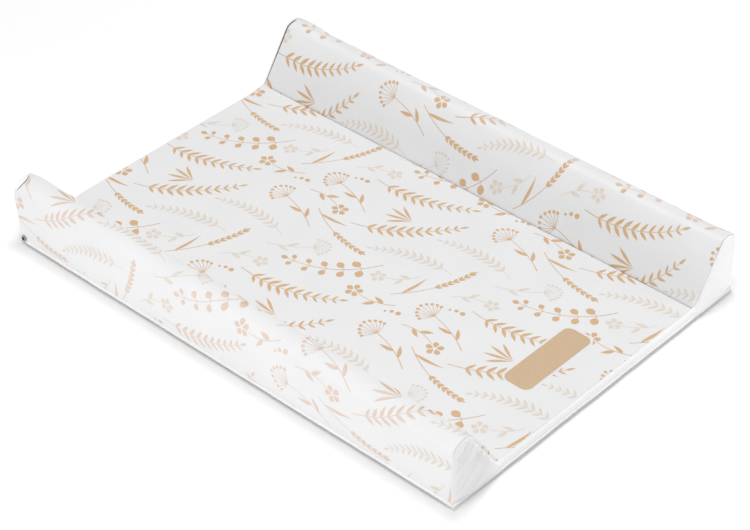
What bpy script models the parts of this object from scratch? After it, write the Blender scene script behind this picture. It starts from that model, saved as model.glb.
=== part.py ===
"""A stiffened changing mat: a board, three foam cores and a skin of welded foil."""

import math

import bmesh
import bpy

# Body, wall to wall, and the bolsters' crest above the floor
BODY_LENGTH = 0.700
BODY_WIDTH = 0.510
CREST_HEIGHT = 0.0895

# Bolster section, measured in from its outer wall and down from its crest
BOLSTER_WIDTH = 0.078
CREST_INSET = 0.0225
CREST_RISE = 0.0135
SHOULDER_INSET = 0.037
SHOULDER_DROP = 0.012
WALL_BELLY = 0.002

# Seat between the bolsters
SEAT_FOAM = 0.007
SEAT_CROWN = 0.004
PAD_ROUND = 0.004

# Pressed weld in each crease, and the foil drawn in at the ends
WELD_WIDTH = 0.0016
CREASE_OPENING = 0.0032
END_DRAW = 0.0015
END_ROUND = 0.006
PANEL_BULGE = 0.0025

# Foil, welded flange round the base, board, and the gap between touching pieces
FOIL = 0.0005
FLANGE_WIDTH = 0.0045
FLANGE_CORNER = 0.001
BOARD_THICKNESS = 0.003
BOARD_CORNER = 0.012
CLEARANCE = 0.0003

# Where the curves hold their end directions, and where the sections have points
HOLD_SHARE = 0.55
WALL_SHARES = (0.10, 0.45, 0.80, 1.0)
OUTER_ROUND_SHARES = (0.25, 0.5, 0.75, 1.0)
INNER_ROUND_SHARES = (0.35, 0.7, 1.0)
SLOPE_SHARES = (0.33, 0.67)
PAD_SHARES = (0.0, 0.5, 1.0)
SEAT_SHARES = (0.12, 0.38, 0.69, 1.0)
LENGTH_SHARES = (0.0, 0.30, 0.60, 0.86)
END_ROUND_SHARES = (1.0, 0.35, 0.0)
PANEL_ROW_SHARES = (0.0, 0.1, 0.3, 0.55, 0.8, 1.0)
BOARD_CORNER_STEPS = 6

# Heights of the stack, from the floor up
BOARD_BOTTOM = FOIL + CLEARANCE
BOARD_TOP = BOARD_BOTTOM + BOARD_THICKNESS
INNER_TOP = BOARD_TOP + CLEARANCE + FOIL
FOAM_FLOOR = INNER_TOP + CLEARANCE
SEAT_EDGE = FOAM_FLOOR + SEAT_FOAM + CLEARANCE + FOIL
WELD_TOP = INNER_TOP + CLEARANCE + FOIL
SKIRT_TOP = FOIL + CLEARANCE + FOIL
WALL_TOP = CREST_HEIGHT - CREST_RISE
SHOULDER_TOP = CREST_HEIGHT - SHOULDER_DROP

# Half sizes, and how far a core stays behind the cover's outer face
HALF_LENGTH = BODY_LENGTH / 2
HALF_WIDTH = BODY_WIDTH / 2
CORE_INSET = FOIL + CLEARANCE
COVER_END = HALF_LENGTH - CORE_INSET
TRAY_HALF_LENGTH = HALF_LENGTH - CORE_INSET
TRAY_HALF_WIDTH = HALF_WIDTH - CORE_INSET
BOARD_HALF_LENGTH = TRAY_HALF_LENGTH - CORE_INSET
BOARD_HALF_WIDTH = TRAY_HALF_WIDTH - CORE_INSET
CREASE_INSET = BOLSTER_WIDTH - CREASE_OPENING / 2
PAD_INSET = BOLSTER_WIDTH + CREASE_OPENING / 2

# Finishes: linear colour, roughness, metallic
FINISHES = {
    "printed_foil": ((0.82, 0.78, 0.72), 0.38, 0.0),
    "white_foil": ((0.88, 0.88, 0.88), 0.36, 0.0),
    "inner_foil": ((0.80, 0.81, 0.82), 0.45, 0.0),
    "foam": ((0.86, 0.84, 0.74), 0.95, 0.0),
    "hardboard": ((0.23, 0.13, 0.07), 0.70, 0.0),
}


def clear_scene():
    """Removes every object that the file holds."""
    for old in list(bpy.data.objects):
        bpy.data.objects.remove(old)


def finish_of(name):
    """The Principled material of one finish, made once."""
    found = bpy.data.materials.get(name)
    if found:
        return found
    colour, roughness, metallic = FINISHES[name]
    made = bpy.data.materials.new(name)
    made.use_nodes = True
    shader = made.node_tree.nodes["Principled BSDF"]
    shader.inputs["Base Color"].default_value = (*colour, 1.0)
    shader.inputs["Roughness"].default_value = roughness
    shader.inputs["Metallic"].default_value = metallic
    return made


def place(name, shape, finish, smooth=True):
    """Turns a bmesh into a named object with its finish."""
    mesh = bpy.data.meshes.new(name)
    shape.to_mesh(mesh)
    shape.free()
    mesh.materials.append(finish_of(finish))
    if smooth:
        mesh.shade_smooth()
    piece = bpy.data.objects.new(name, mesh)
    bpy.context.scene.collection.objects.link(piece)
    return piece


def thicken(piece):
    """Gives a sheet the foil's thickness, behind its outer face."""
    wall = piece.modifiers.new("foil", "SOLIDIFY")
    wall.thickness = FOIL
    wall.offset = -1.0
    wall.use_even_offset = True
    return piece


def bezier(start, start_hold, end_hold, end, shares):
    """Points of a cubic curve at the given shares of its length."""
    points = []
    for t in shares:
        a, b, c, d = (1 - t) ** 3, 3 * t * (1 - t) ** 2, 3 * t * t * (1 - t), t**3
        points.append(
            tuple(a * p + b * q + c * r + d * s for p, q, r, s in zip(start, start_hold, end_hold, end))
        )
    return points


def along(start, end, shares):
    """Points on a straight line at the given shares of its length."""
    return [tuple(p + t * (q - p) for p, q in zip(start, end)) for t in shares]


def inset_path(points, distances):
    """Moves each point of an open path to the foil's inner side, keeping the distance across each corner."""
    moved = []
    for i, (inset, height) in enumerate(points):
        sides = []
        for a, b in ((i - 1, i), (i, i + 1)):
            if a >= 0 and b < len(points):
                run, rise = points[b][0] - points[a][0], points[b][1] - points[a][1]
                length = math.hypot(run, rise)
                sides.append((rise / length, -run / length))
        first, last = sides[0], sides[-1]
        spread = 1 + first[0] * last[0] + first[1] * last[1]
        moved.append(
            (
                inset + distances[i] * (first[0] + last[0]) / spread,
                height + distances[i] * (first[1] + last[1]) / spread,
            )
        )
    return moved


def end_draw(x):
    """How far the foil is drawn in at a station, as a quarter round towards each end."""
    reach = max(0.0, 1 - (COVER_END - abs(x)) / END_ROUND)
    return END_DRAW * (1 - math.sqrt(max(0.0, 1 - reach * reach)))


def slope_height(inset):
    """Height of the bolster's inner slope at a distance in from the outer wall."""
    share = (inset - SHOULDER_INSET) / (BOLSTER_WIDTH - SHOULDER_INSET)
    return SHOULDER_TOP + share * (SEAT_EDGE - SHOULDER_TOP)


def seat_height(x, inset):
    """Height of the padded seat, highest in the middle."""
    along_share = abs(x) / HALF_LENGTH
    across_share = (HALF_WIDTH - inset) / (HALF_WIDTH - BOLSTER_WIDTH)
    return SEAT_EDGE + SEAT_CROWN * (1 - along_share**4) * (1 - across_share**2)


def wall_points(x, foot):
    """The bolster's outer wall from a foot height up, with its slight belly at mid-length."""
    belly = WALL_BELLY * (1 - (x / HALF_LENGTH) ** 2)
    rise = WALL_TOP - SKIRT_TOP
    points = [(0.0, foot)]
    for share in WALL_SHARES:
        points.append((-belly * math.sin(math.pi * share), SKIRT_TOP + share * rise))
    return points


def top_points():
    """The rounded top, from the wall over the crest to the shoulder."""
    crest = (CREST_INSET, CREST_HEIGHT)
    shoulder = (SHOULDER_INSET, SHOULDER_TOP)
    slope_run = (BOLSTER_WIDTH - SHOULDER_INSET) / (SHOULDER_TOP - SEAT_EDGE)
    outer = bezier(
        (0.0, WALL_TOP),
        (0.0, WALL_TOP + HOLD_SHARE * CREST_RISE),
        (CREST_INSET * (1 - HOLD_SHARE), CREST_HEIGHT),
        crest,
        OUTER_ROUND_SHARES,
    )
    inner = bezier(
        crest,
        (CREST_INSET + HOLD_SHARE * (SHOULDER_INSET - CREST_INSET), CREST_HEIGHT),
        (SHOULDER_INSET - HOLD_SHARE * SHOULDER_DROP * slope_run, SHOULDER_TOP + HOLD_SHARE * SHOULDER_DROP),
        shoulder,
        INNER_ROUND_SHARES,
    )
    return outer + inner


def slope_points(last_inset):
    """The straight inner slope below the shoulder, down to a distance in from the wall."""
    start = (SHOULDER_INSET, SHOULDER_TOP)
    end = (last_inset, slope_height(last_inset))
    return along(start, end, SLOPE_SHARES + (1.0,))


def pad_points(x):
    """The seat's rounded edge beside the crease."""
    top = seat_height(x, PAD_INSET)
    points = []
    for share in PAD_SHARES:
        turn = share * math.pi / 2
        points.append((PAD_INSET + PAD_ROUND * (1 - math.cos(turn)), top - PAD_ROUND * (1 - math.sin(turn))))
    return points


def seat_points(x):
    """The seat from its rounded edge to the middle of the mat."""
    start = PAD_INSET + PAD_ROUND
    points = []
    for share in SEAT_SHARES:
        inset = start + share * (HALF_WIDTH - start)
        points.append((inset, seat_height(x, inset)))
    return points


def weld_points():
    """The flat pressed bottom of the crease."""
    return [(BOLSTER_WIDTH - WELD_WIDTH / 2, WELD_TOP), (BOLSTER_WIDTH + WELD_WIDTH / 2, WELD_TOP)]


def cover_half(x):
    """The cover's outer face at a station, from the skirt's edge to the middle, as inset and height."""
    skirt = [(-FLANGE_WIDTH, SKIRT_TOP)]
    body = wall_points(x, SKIRT_TOP) + top_points() + slope_points(CREASE_INSET)
    seat = pad_points(x) + seat_points(x)
    points = skirt + body + weld_points() + seat
    drawn = end_draw(x)
    held = {0, 1, len(skirt + body), len(skirt + body) + 1}
    distances = [0.0 if i in held else drawn for i in range(len(points))]
    return inset_path(points, distances)


def core_section(x, points):
    """A core's section: the cover's inner face with the clearance, closed down to the foam's floor."""
    distance = CORE_INSET + end_draw(x)
    inner = inset_path(points, [distance] * len(points))
    return [(inner[0][0], FOAM_FLOOR)] + inner[1:] + [(inner[-1][0], FOAM_FLOOR)]


def bolster_section(x):
    """Section of one bolster's foam, as inset and height."""
    points = wall_points(x, FOAM_FLOOR) + top_points() + slope_points(CREASE_INSET - CORE_INSET)
    return core_section(x, points)


def seat_section(x):
    """Section of the seat's foam, from one crease to the other, as place across and height."""
    half = inset_path(pad_points(x) + seat_points(x), [CORE_INSET + end_draw(x)] * (len(PAD_SHARES) + len(SEAT_SHARES)))
    half = [(half[0][0], FOAM_FLOOR)] + half[:-1]
    middle = (0.0, seat_height(x, HALF_WIDTH) - CORE_INSET - end_draw(x))
    left = [(inset - HALF_WIDTH, height) for inset, height in half]
    right = [(-across, height) for across, height in reversed(left)]
    return left + [middle] + right


def stations():
    """Places along the mat, closer together where the ends are drawn in."""
    inner = COVER_END - END_ROUND
    half = [share * inner for share in LENGTH_SHARES]
    half += [COVER_END - share * END_ROUND for share in END_ROUND_SHARES]
    return [-x for x in reversed(half[1:])] + half


def loft(name, section_at, finish):
    """A closed solid through the same section at every station."""
    shape = bmesh.new()
    rings = []
    for x in stations():
        rings.append([shape.verts.new((x, across, height)) for across, height in section_at(x)])
    for low, high in zip(rings, rings[1:]):
        for i in range(len(low)):
            j = (i + 1) % len(low)
            shape.faces.new((low[i], low[j], high[j], high[i]))
    shape.faces.new(rings[0])
    shape.faces.new(rings[-1])
    bmesh.ops.recalc_face_normals(shape, faces=shape.faces)
    return place(name, shape, finish)


def grid_sheet(name, rows, finish, flip=False):
    """An open sheet through rows of points, thickened into foil."""
    shape = bmesh.new()
    lines = [[shape.verts.new(point) for point in row] for row in rows]
    for low, high in zip(lines, lines[1:]):
        for i in range(len(low) - 1):
            corners = [low[i], high[i], high[i + 1], low[i + 1]]
            shape.faces.new(corners[::-1] if flip else corners)
    return thicken(place(name, shape, finish))


def printed_cover():
    """The printed foil: skirt, outer wall, bolster, weld crease and seat in one sheet."""
    rows = []
    for x in stations():
        half = cover_half(x)
        left = [(inset - HALF_WIDTH, height) for inset, height in half]
        right = [(-across, height) for across, height in reversed(left[:-1])]
        rows.append([(x, across, height) for across, height in left + right])
    for row, side in ((rows[0], -1), (rows[-1], 1)):
        for i in (0, -1):
            row[i] = (row[i][0] + side * FLANGE_WIDTH, row[i][1], row[i][2])
    return grid_sheet("printed_cover", rows, "printed_foil")


def panel_outline():
    """Top edge of an end panel, from one outer wall to the other, as place across and height."""
    drawn = end_draw(COVER_END)
    body = inset_path(
        [(0.0, SKIRT_TOP), (0.0, WALL_TOP)] + top_points() + slope_points(CREASE_INSET),
        [drawn] * (2 + len(OUTER_ROUND_SHARES + INNER_ROUND_SHARES) + len(SLOPE_SHARES) + 1),
    )[1:]
    seat = [(inset, height - drawn) for inset, height in pad_points(COVER_END)[-1:] + seat_points(COVER_END)]
    left = [(inset - HALF_WIDTH, height) for inset, height in body + seat]
    return left + [(-across, height) for across, height in reversed(left[:-1])]


def panel_bulge(across, share):
    """How far an end panel swells over a bolster's end, at a share of its height."""
    inset = min(HALF_WIDTH - abs(across), BOLSTER_WIDTH)
    return PANEL_BULGE * math.sin(math.pi * share) * math.sin(math.pi * inset / BOLSTER_WIDTH)


def end_panel(name, end):
    """The white foil over one end: both bolster ends, the strip under the seat's edge and its flange."""
    outline = panel_outline()
    foot = [across for across, _ in outline]
    foot[0], foot[-1] = -HALF_WIDTH, HALF_WIDTH
    skirt = list(foot)
    skirt[0], skirt[-1] = -HALF_WIDTH - FLANGE_WIDTH, HALF_WIDTH + FLANGE_WIDTH
    rows = [[(end * (HALF_LENGTH + FLANGE_WIDTH), across, SKIRT_TOP) for across in skirt]]
    for share in PANEL_ROW_SHARES:
        row = []
        for base, (across, height) in zip(foot, outline):
            x = HALF_LENGTH + panel_bulge(across, share)
            row.append((end * x, base + share * (across - base), SKIRT_TOP + share * (height - SKIRT_TOP)))
        rows.append(row)
    return grid_sheet(name, rows, "white_foil", flip=end > 0)


def rounded_rectangle(half_length, half_width, corner, steps):
    """Outline of a rectangle with round corners, anticlockwise."""
    points = []
    for quarter, (side_x, side_y) in enumerate(((1, 1), (-1, 1), (-1, -1), (1, -1))):
        for step in range(steps + 1):
            turn = (quarter + step / steps) * math.pi / 2
            points.append(
                (
                    side_x * (half_length - corner) + corner * math.cos(turn),
                    side_y * (half_width - corner) + corner * math.sin(turn),
                )
            )
    return points


def plate(name, outline, bottom, top, finish):
    """A flat solid plate over an outline."""
    shape = bmesh.new()
    base = shape.faces.new([shape.verts.new((x, y, bottom)) for x, y in outline])
    raised = bmesh.ops.extrude_face_region(shape, geom=[base])
    lifted = [v for v in raised["geom"] if isinstance(v, bmesh.types.BMVert)]
    bmesh.ops.translate(shape, verts=lifted, vec=(0.0, 0.0, top - bottom))
    bmesh.ops.recalc_face_normals(shape, faces=shape.faces)
    return place(name, shape, finish, smooth=False)


def bottom_foil():
    """The flat sheet under the mat, out to the edge of the welded flange."""
    half_length, half_width = HALF_LENGTH + FLANGE_WIDTH, HALF_WIDTH + FLANGE_WIDTH
    outline = rounded_rectangle(half_length, half_width, FLANGE_CORNER, BOARD_CORNER_STEPS)
    return plate("bottom_foil", outline, 0.0, FOIL, "white_foil")


def base_board():
    """The stiffening board, with rounded corners."""
    outline = rounded_rectangle(BOARD_HALF_LENGTH, BOARD_HALF_WIDTH, BOARD_CORNER, BOARD_CORNER_STEPS)
    return plate("base_board", outline, BOARD_BOTTOM, BOARD_TOP, "hardboard")


def inner_foil():
    """The foil over the board, turned down round its edge, that the creases are welded to."""
    corner = BOARD_CORNER + CORE_INSET
    outline = rounded_rectangle(TRAY_HALF_LENGTH, TRAY_HALF_WIDTH, corner, BOARD_CORNER_STEPS)
    shape = bmesh.new()
    top = [shape.verts.new((x, y, INNER_TOP)) for x, y in outline]
    foot = [shape.verts.new((x, y, BOARD_BOTTOM)) for x, y in outline]
    shape.faces.new(top)
    for i in range(len(top)):
        j = (i + 1) % len(top)
        shape.faces.new((top[j], top[i], foot[i], foot[j]))
    return thicken(place("inner_foil", shape, "inner_foil", smooth=False))


def bolster_foam(name, side):
    """The foam core of one bolster; side is -1 at the left and 1 at the right."""
    def section(x):
        return [(side * (HALF_WIDTH - inset), height) for inset, height in bolster_section(x)]

    return loft(name, section, "foam")


def seat_foam():
    """The thin crowned foam of the seat."""
    return loft("seat_foam", seat_section, "foam")


def main():
    """Builds every piece of the mat."""
    clear_scene()
    bottom_foil()
    base_board()
    inner_foil()
    seat_foam()
    bolster_foam("left_bolster_foam", -1)
    bolster_foam("right_bolster_foam", 1)
    printed_cover()
    end_panel("head_end_panel", -1)
    end_panel("foot_end_panel", 1)


if __name__ == "__main__":
    main()
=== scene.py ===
"""A changing mat of printed foil, welded over foam bolsters and a board, on a plain studio floor."""

import math
from types import SimpleNamespace

import bpy
import numpy as np
from bpy.props import FloatProperty, PointerProperty, StringProperty
from mathutils.geometry import delaunay_2d_cdt
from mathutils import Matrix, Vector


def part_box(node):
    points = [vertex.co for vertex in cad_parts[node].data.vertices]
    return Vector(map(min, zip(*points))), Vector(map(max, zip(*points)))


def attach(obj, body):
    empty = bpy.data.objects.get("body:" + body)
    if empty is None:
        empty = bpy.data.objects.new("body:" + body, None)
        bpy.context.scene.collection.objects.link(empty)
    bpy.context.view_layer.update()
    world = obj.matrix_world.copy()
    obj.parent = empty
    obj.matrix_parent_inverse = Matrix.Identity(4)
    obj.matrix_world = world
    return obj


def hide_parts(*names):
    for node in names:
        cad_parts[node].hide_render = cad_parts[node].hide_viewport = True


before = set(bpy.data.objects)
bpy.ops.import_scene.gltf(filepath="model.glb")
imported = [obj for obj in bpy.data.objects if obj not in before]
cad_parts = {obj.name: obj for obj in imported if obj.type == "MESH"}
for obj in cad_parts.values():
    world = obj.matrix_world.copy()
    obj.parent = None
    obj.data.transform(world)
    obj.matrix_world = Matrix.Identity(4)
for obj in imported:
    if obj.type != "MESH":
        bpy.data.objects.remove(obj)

bl_info = {
    "name": "Changing Mat",
    "version": (1, 0, 0),
    "blender": (4, 5, 0),
    "location": "3D View > Sidebar > Changing Mat",
    "description": "Dresses a changing mat in welded, printed foil",
    "category": "Add Mesh",
}

ROOT = "root"
MM = 0.001

# Steps of the cover's section, zone by zone from the skirt to the middle of the seat
SECTION_STEPS = {
    "wall": 22,
    "outer_round": 10,
    "inner_round": 7,
    "slope": 22,
    "crease": 4,
    "weld": 1,
    "pad": 8,
    "seat": 34,
}
HELD_ZONES = ("skirt", "weld")
HOLD_SHARE = 0.55
STATION_STEP = 0.0042
END_STEPS = 8
RUN_STEPS = 7
RIM_BLEND_ROWS = 7
RIM_SHARES = {
    "wall": 0.1,
    "outer_round": 0.4,
    "inner_round": 0.75,
    "slope": 1.0,
    "crease": 0.2,
    "pad": 0.1,
    "seat": 0.1,
}

# The skirt rises a little to a groove at the foot of the walls, and is trimmed closer beside them
SKIRT_SHARES = (0, 0.25, 0.5, 0.75, 1)
SKIRT_CURVE = 1.5
SKIRT_RISE = 0.0007
SEAM_GROOVE = 0.0003
GROOVE_IN_SHARE = 1.3
GROOVE_UP_SHARE = 0.5
SIDE_FLANGE_SHARE = 0.55
# Height over which the flange's painted highlight fades into the foil's colour
FLANGE_HIGHLIGHT_BLEND = 0.0005

# Corners where the welded flange is cut off: side of each, and how far along the wall and along the end
TRIMMED_CORNERS = ((-1, -1, 0.0115, 0.005), (1, 1, 0.005, 0.004))
TRIM_FADE = 0.003
TRIMMED_SHARE = 0.75

# The head end: how far its stuffing pushes it out, where the creases stop short, and its seam:
# a lip of the panel's foil over the cover's end, then a slit
LEFT_PUFF = 0.0046
RIGHT_PUFF = 0.0066
SEAT_PUFF = 0.0031
LEFT_PUFF_SHARE = 1.15
RIGHT_PUFF_SHARE = 8
PUFF_BLEND = 0.03
HEAD_FADE = 0.009
CREASE_STOP = 0.009
CREASE_FADE = 0.003
LIP_WIDTH = 0.0001
LEFT_LIP = 0.0056
RIGHT_LIP = 0.0016
LIP_LEAST = 0.0002
LIP_TURNS = (0.25, 0.5, 0.75, 1.0)
LIP_RUNS = ((0.4, 0.0), (0.8, 0.0), (1.0, 0.0004))
LEFT_SLIT = 0.0009
LEFT_SLIT_SHIFT = 0.013
LEFT_SLIT_REACH = 0.012
RIGHT_SLIT_SHIFT = 0.001
RIGHT_SLIT_REACH = 0.008
WALL_SLIT = 0.0001
SEAT_SLIT = 0.0003
LOW_SLOPE_SLIT = 0.0004
HIGH_SLOPE_SLIT = 0.0018
SLIT_BLEND = 0.012

# The bolsters' tops: how far they settle under their full height, and how they stand at their ends
CREST_SETTLE = 0.0048
LEFT_DROOP = 0.0040
RIGHT_DROOP = 0.0018
DROOP_REACH = 0.007
LEFT_HEAD_LIFT = 0.0014
RIGHT_HEAD_LIFT = 0.0042
LIFT_HOLD = 0.015
LIFT_FADE = 0.040
RIGHT_FOOT_LIFT = 0.0028
FOOT_LIFT_REACH = 0.020

# The vent: a small eyelet at the foot of the left wall by the head end
VENT_PLACE = (-0.3442, -0.2550, 0.0040)
VENT_RADIUS = 0.0037
VENT_BORE = 0.0023
VENT_EDGE = 0.0006
VENT_STAND = 0.0018
VENT_DEPTH = 0.0075
VENT_SIDES = 28

# The end panels: rounded upper edge, gap to the cover's rim, swelling, hem under the cover and folds
FACE_STEPS = 56
EDGE_STEPS = (1.0, 0.62, 0.33, 0.12, 0.0)
EDGE_ROUND = 0.0016
EDGE_DEPTH = 0.0004
CLOSED_GAP = 0.00005
SEAT_GAP = 0.00005
SLOPE_GAP = 0.00005
LEFT_CREST_GAP = 0.00005
RIGHT_CREST_GAP = 0.0008
RIGHT_WALL_GAP = 0.0001
GAP_BLEND_ROWS = 5
SEAT_BULGE = 0.0014
BULGE_POWER = 0.8
BULGE_WALL_SHARE = 0.3
HEM_STEPS = ((0.0006, 0.0003), (0.0025, 0.0006))
HEM_CLEAR = 0.0015
HEM_FADE = 0.002
FOOT_LEAD = 0.0026
FOOT_LEAD_RISE = 0.006
FOLD_PITCH = 0.016
FOLD_SWEEP = 1.0
FOLD_LEVEL = 0.012
FOLD_SHARE = 0.75
FOLD_SKEW = 0.7
SIDE_FOLD_SHARE = 0.3
SIDE_FOLD_PACE = 0.47
SIDE_FOLD_PHASE = 0.4
FOLD_WALL_SHARE = 0.12
FOLD_SLOPE_SHARE = 0.45
FOLD_TOP_FADE = 0.008
FOLD_FOOT_FADE = 0.006
NEAR_FOLDS = 0.0022
FAR_FOLDS = 0.00030
HEAD_FOLDS = 0.0007

# The foam cores, the foil round the board and the underside
END_SETBACK = 0.0032
CORE_CLEARANCE = 0.001
CORE_STEPS = 60
ROUND_STEPS = 6
HEAD_FOAM_ROUND = 0.010
FOOT_FOAM_ROUND = 0.003
BOARD_CORNER = 0.012
TRAY_ROUND = 0.0008
CORNER_STEPS = 8
TRAY_SHARES = (0.9, 0.5)
CORE_FLOOR_SHARES = (0.02, 0.98)
CORE_FLOOR_STEPS = 9
SEAT_CORE_STEPS = 61
SEAT_CORE_POWER = 24
UNDERSIDE_EDGE_SHARES = (4.1, 3.7, 3.3, 2.9, 2.5, 2.1, 1.7, 1.3, 1.0, 0.5, 0.0)
UNDERSIDE_LENGTH_SHARE = 0.94
UNDERSIDE_WIDTH_SHARE = 0.925
UNDERSIDE_STEPS = (95, 69)
UNDERSIDE_CALM = 0.012
UNDERSIDE_WAVES = 0.00018
JOIN_DISTANCE = 0.000002

# The foil's relief: where it grows and fades, and its waves: height, seed, length, heading, spread, count
WAVE_LENGTH_SHARES = (0.7, 1.5)
RELIEF_END_REACH = 0.05
RELIEF_FADE = 0.006
WALL_WAVE_POWER = 0.7
TOP_WAVE_SKEW = 0.4
SLOPE_END_SHARE = 0.8
SEAT_WAVE_REACH = 0.02
FLANGE_RAISE = 0.00012
WAVES = {
    "wall": (0.00045, 3, 0.085, 0.25, 0.35, 6),
    "top": (0.00018, 5, 0.05, 0.5, 0.3, 6),
    "slope": (0.00035, 7, 0.11, 0.3, 0.5, 6),
    "seat": (0.00030, 11, 0.12, 0.9, 0.9, 6),
    "seat_end": (0.00055, 13, 0.045, 1.1, 0.35, 6),
    "lip": (0.00035, 17, 0.014, 0.0, 0.0, 6),
    "ruffle": (0.0003, 19, 0.013, 0.0, 0.0, 6),
    "flange_edge": (0.00035, 23, 0.05, 0.8, 1.5, 9),
    "flange_lift": (0.00030, 29, 0.07, 0.8, 1.5, 9),
    "fold": (0.0030, 31, 0.045, 0.6, 1.2, 6),
    "underside": (0.00009, 37, 0.09, 0.7, 1.2, 6),
}

# Finishes: size of each grain, and the ranges that its noise is mapped from and to
NOISE_RANGE = (0.3, 0.7)
FOIL_GRAIN = 2.2 * MM
FOIL_CLOUD = 70 * MM
CLOUD_SHARE = 0.4
FOIL_TONES = (0.955, 1.02)
FOIL_GLOSS = (0.42, 0.56)
FOIL_BUMP = 0.35
FOIL_BUMP_DEPTH = 0.05 * MM
FOIL_IOR = 1.53
INK_GRAIN = 2.0 * MM
INK_TONES = (0.94, 1.05)
INK_GLOSS = (0.36, 0.5)
INK_IOR = 1.5
FOAM_CELL = 1.1 * MM
FOAM_RANGE = (0.0, 0.6)
FOAM_TONES = (0.78, 1.0)
FOAM_BUMP = 0.8
FOAM_BUMP_DEPTH = 0.4 * MM
FOAM_ROUGHNESS = 0.95
BOARD_FIBRE = 3 * MM
BOARD_TONES = (0.7, 1.2)
BOARD_ROUGHNESS = 0.65
# Size of the mottle in the vent bore's painted shade
BORE_MOTTLE = 0.6 * MM
BORE_TONES = (0.6, 1.5)
DULL_ROUGHNESS = 0.9
FLOOR_GRAIN = 4 * MM
FLOOR_TONES = (0.995, 1.0)
FLOOR_GLEAM = 0.1

# Foliage of the print, in a tile that repeats with a half drop
TILE_LENGTH = 0.262
TILE_WIDTH = 0.242
CELL = 0.002
LEAF_STEPS = 9
SEED_STEPS = 14
STALK_STEP = 0.004
MAIN_HEADING = 0.35
HEADING_SPREAD = 0.75
CLEAR_ZONE = 0.003
# Width over which the ink fades into its paler wall tone, a painted highlight
HIGHLIGHT_BLEND = 0.006
INK_LIFT = 0.00008
BADGE_LIFT = 0.00016
BADGE_HALF_LENGTH = 0.019
BADGE_HALF_WIDTH = 0.061
BADGE_CORNER = 0.010
BADGE_CENTRE = (0.283, -0.0103)
CDT_EPSILON = 1e-4


def box_size(node):
    """Length, width and height of a node's box."""
    low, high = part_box(node)
    return high - low


FLANGED = box_size("bottom_foil")
FLANGE_WIDTH = 0.0045
BODY_LENGTH = FLANGED.x - 2 * FLANGE_WIDTH
BODY_WIDTH = FLANGED.y - 2 * FLANGE_WIDTH
CREST_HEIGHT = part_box("printed_cover")[1].z - CREST_SETTLE


class MatSizes(bpy.types.PropertyGroup):
    """Sizes of the mat, as its maker would give them"""

    body_length: FloatProperty(
        name="Length", description="From end panel to end panel", default=BODY_LENGTH, unit="LENGTH"
    )
    body_width: FloatProperty(
        name="Width", description="From outer wall to outer wall", default=BODY_WIDTH, unit="LENGTH"
    )
    crest_height: FloatProperty(
        name="Height", description="From the floor to the bolsters' crest", default=CREST_HEIGHT, unit="LENGTH"
    )
    bolster_width: FloatProperty(
        name="Bolster width", description="From the outer wall to the crease", default=0.078, unit="LENGTH"
    )
    crest_inset: FloatProperty(
        name="Crest inset", description="From the outer wall to the crest", default=0.0225, unit="LENGTH"
    )
    crest_rise: FloatProperty(
        name="Crest rise", description="From the top of the wall to the crest", default=0.0135, unit="LENGTH"
    )
    shoulder_inset: FloatProperty(
        name="Shoulder inset", description="From the outer wall to the shoulder", default=0.037, unit="LENGTH"
    )
    shoulder_drop: FloatProperty(
        name="Shoulder drop", description="From the crest down to the shoulder", default=0.012, unit="LENGTH"
    )
    wall_belly: FloatProperty(
        name="Wall belly", description="How far a wall swells at mid-length", default=0.002, unit="LENGTH"
    )
    seat_foam: FloatProperty(
        name="Seat foam", description="Thickness of the foam at the seat's edge", default=0.007, unit="LENGTH"
    )
    seat_crown: FloatProperty(
        name="Seat crown", description="How far the seat rises to its middle", default=0.004, unit="LENGTH"
    )
    pad_round: FloatProperty(
        name="Pad round", description="Radius of the seat's edge beside a crease", default=0.0013, unit="LENGTH"
    )
    weld_width: FloatProperty(
        name="Weld width", description="Width of the weld in a crease", default=0.0004, unit="LENGTH"
    )
    crease_opening: FloatProperty(
        name="Crease opening", description="Width of a crease at its mouth", default=0.0008, unit="LENGTH"
    )
    end_draw: FloatProperty(
        name="End draw", description="How far the cover is drawn in at its foot end", default=0.0040, unit="LENGTH"
    )
    end_round: FloatProperty(
        name="End round", description="Length of the cover's rounded foot end", default=0.0024, unit="LENGTH"
    )
    head_draw: FloatProperty(
        name="Head draw", description="How far the cover is drawn in at its head end", default=0.0014, unit="LENGTH"
    )
    head_round: FloatProperty(
        name="Head round", description="Length of the cover's rounded head end", default=0.0016, unit="LENGTH"
    )
    panel_bulge: FloatProperty(
        name="Panel bulge", description="How far an end panel swells", default=0.0025, unit="LENGTH"
    )
    foil: FloatProperty(name="Foil", description="Thickness of every foil", default=0.0005, unit="LENGTH")
    flange_width: FloatProperty(
        name="Flange width", description="Width of the weld round the base", default=FLANGE_WIDTH, unit="LENGTH"
    )
    board: FloatProperty(name="Board", description="Thickness of the board", default=0.003, unit="LENGTH")
    clearance: FloatProperty(
        name="Clearance", description="Gap between touching pieces", default=0.0003, unit="LENGTH"
    )


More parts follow.
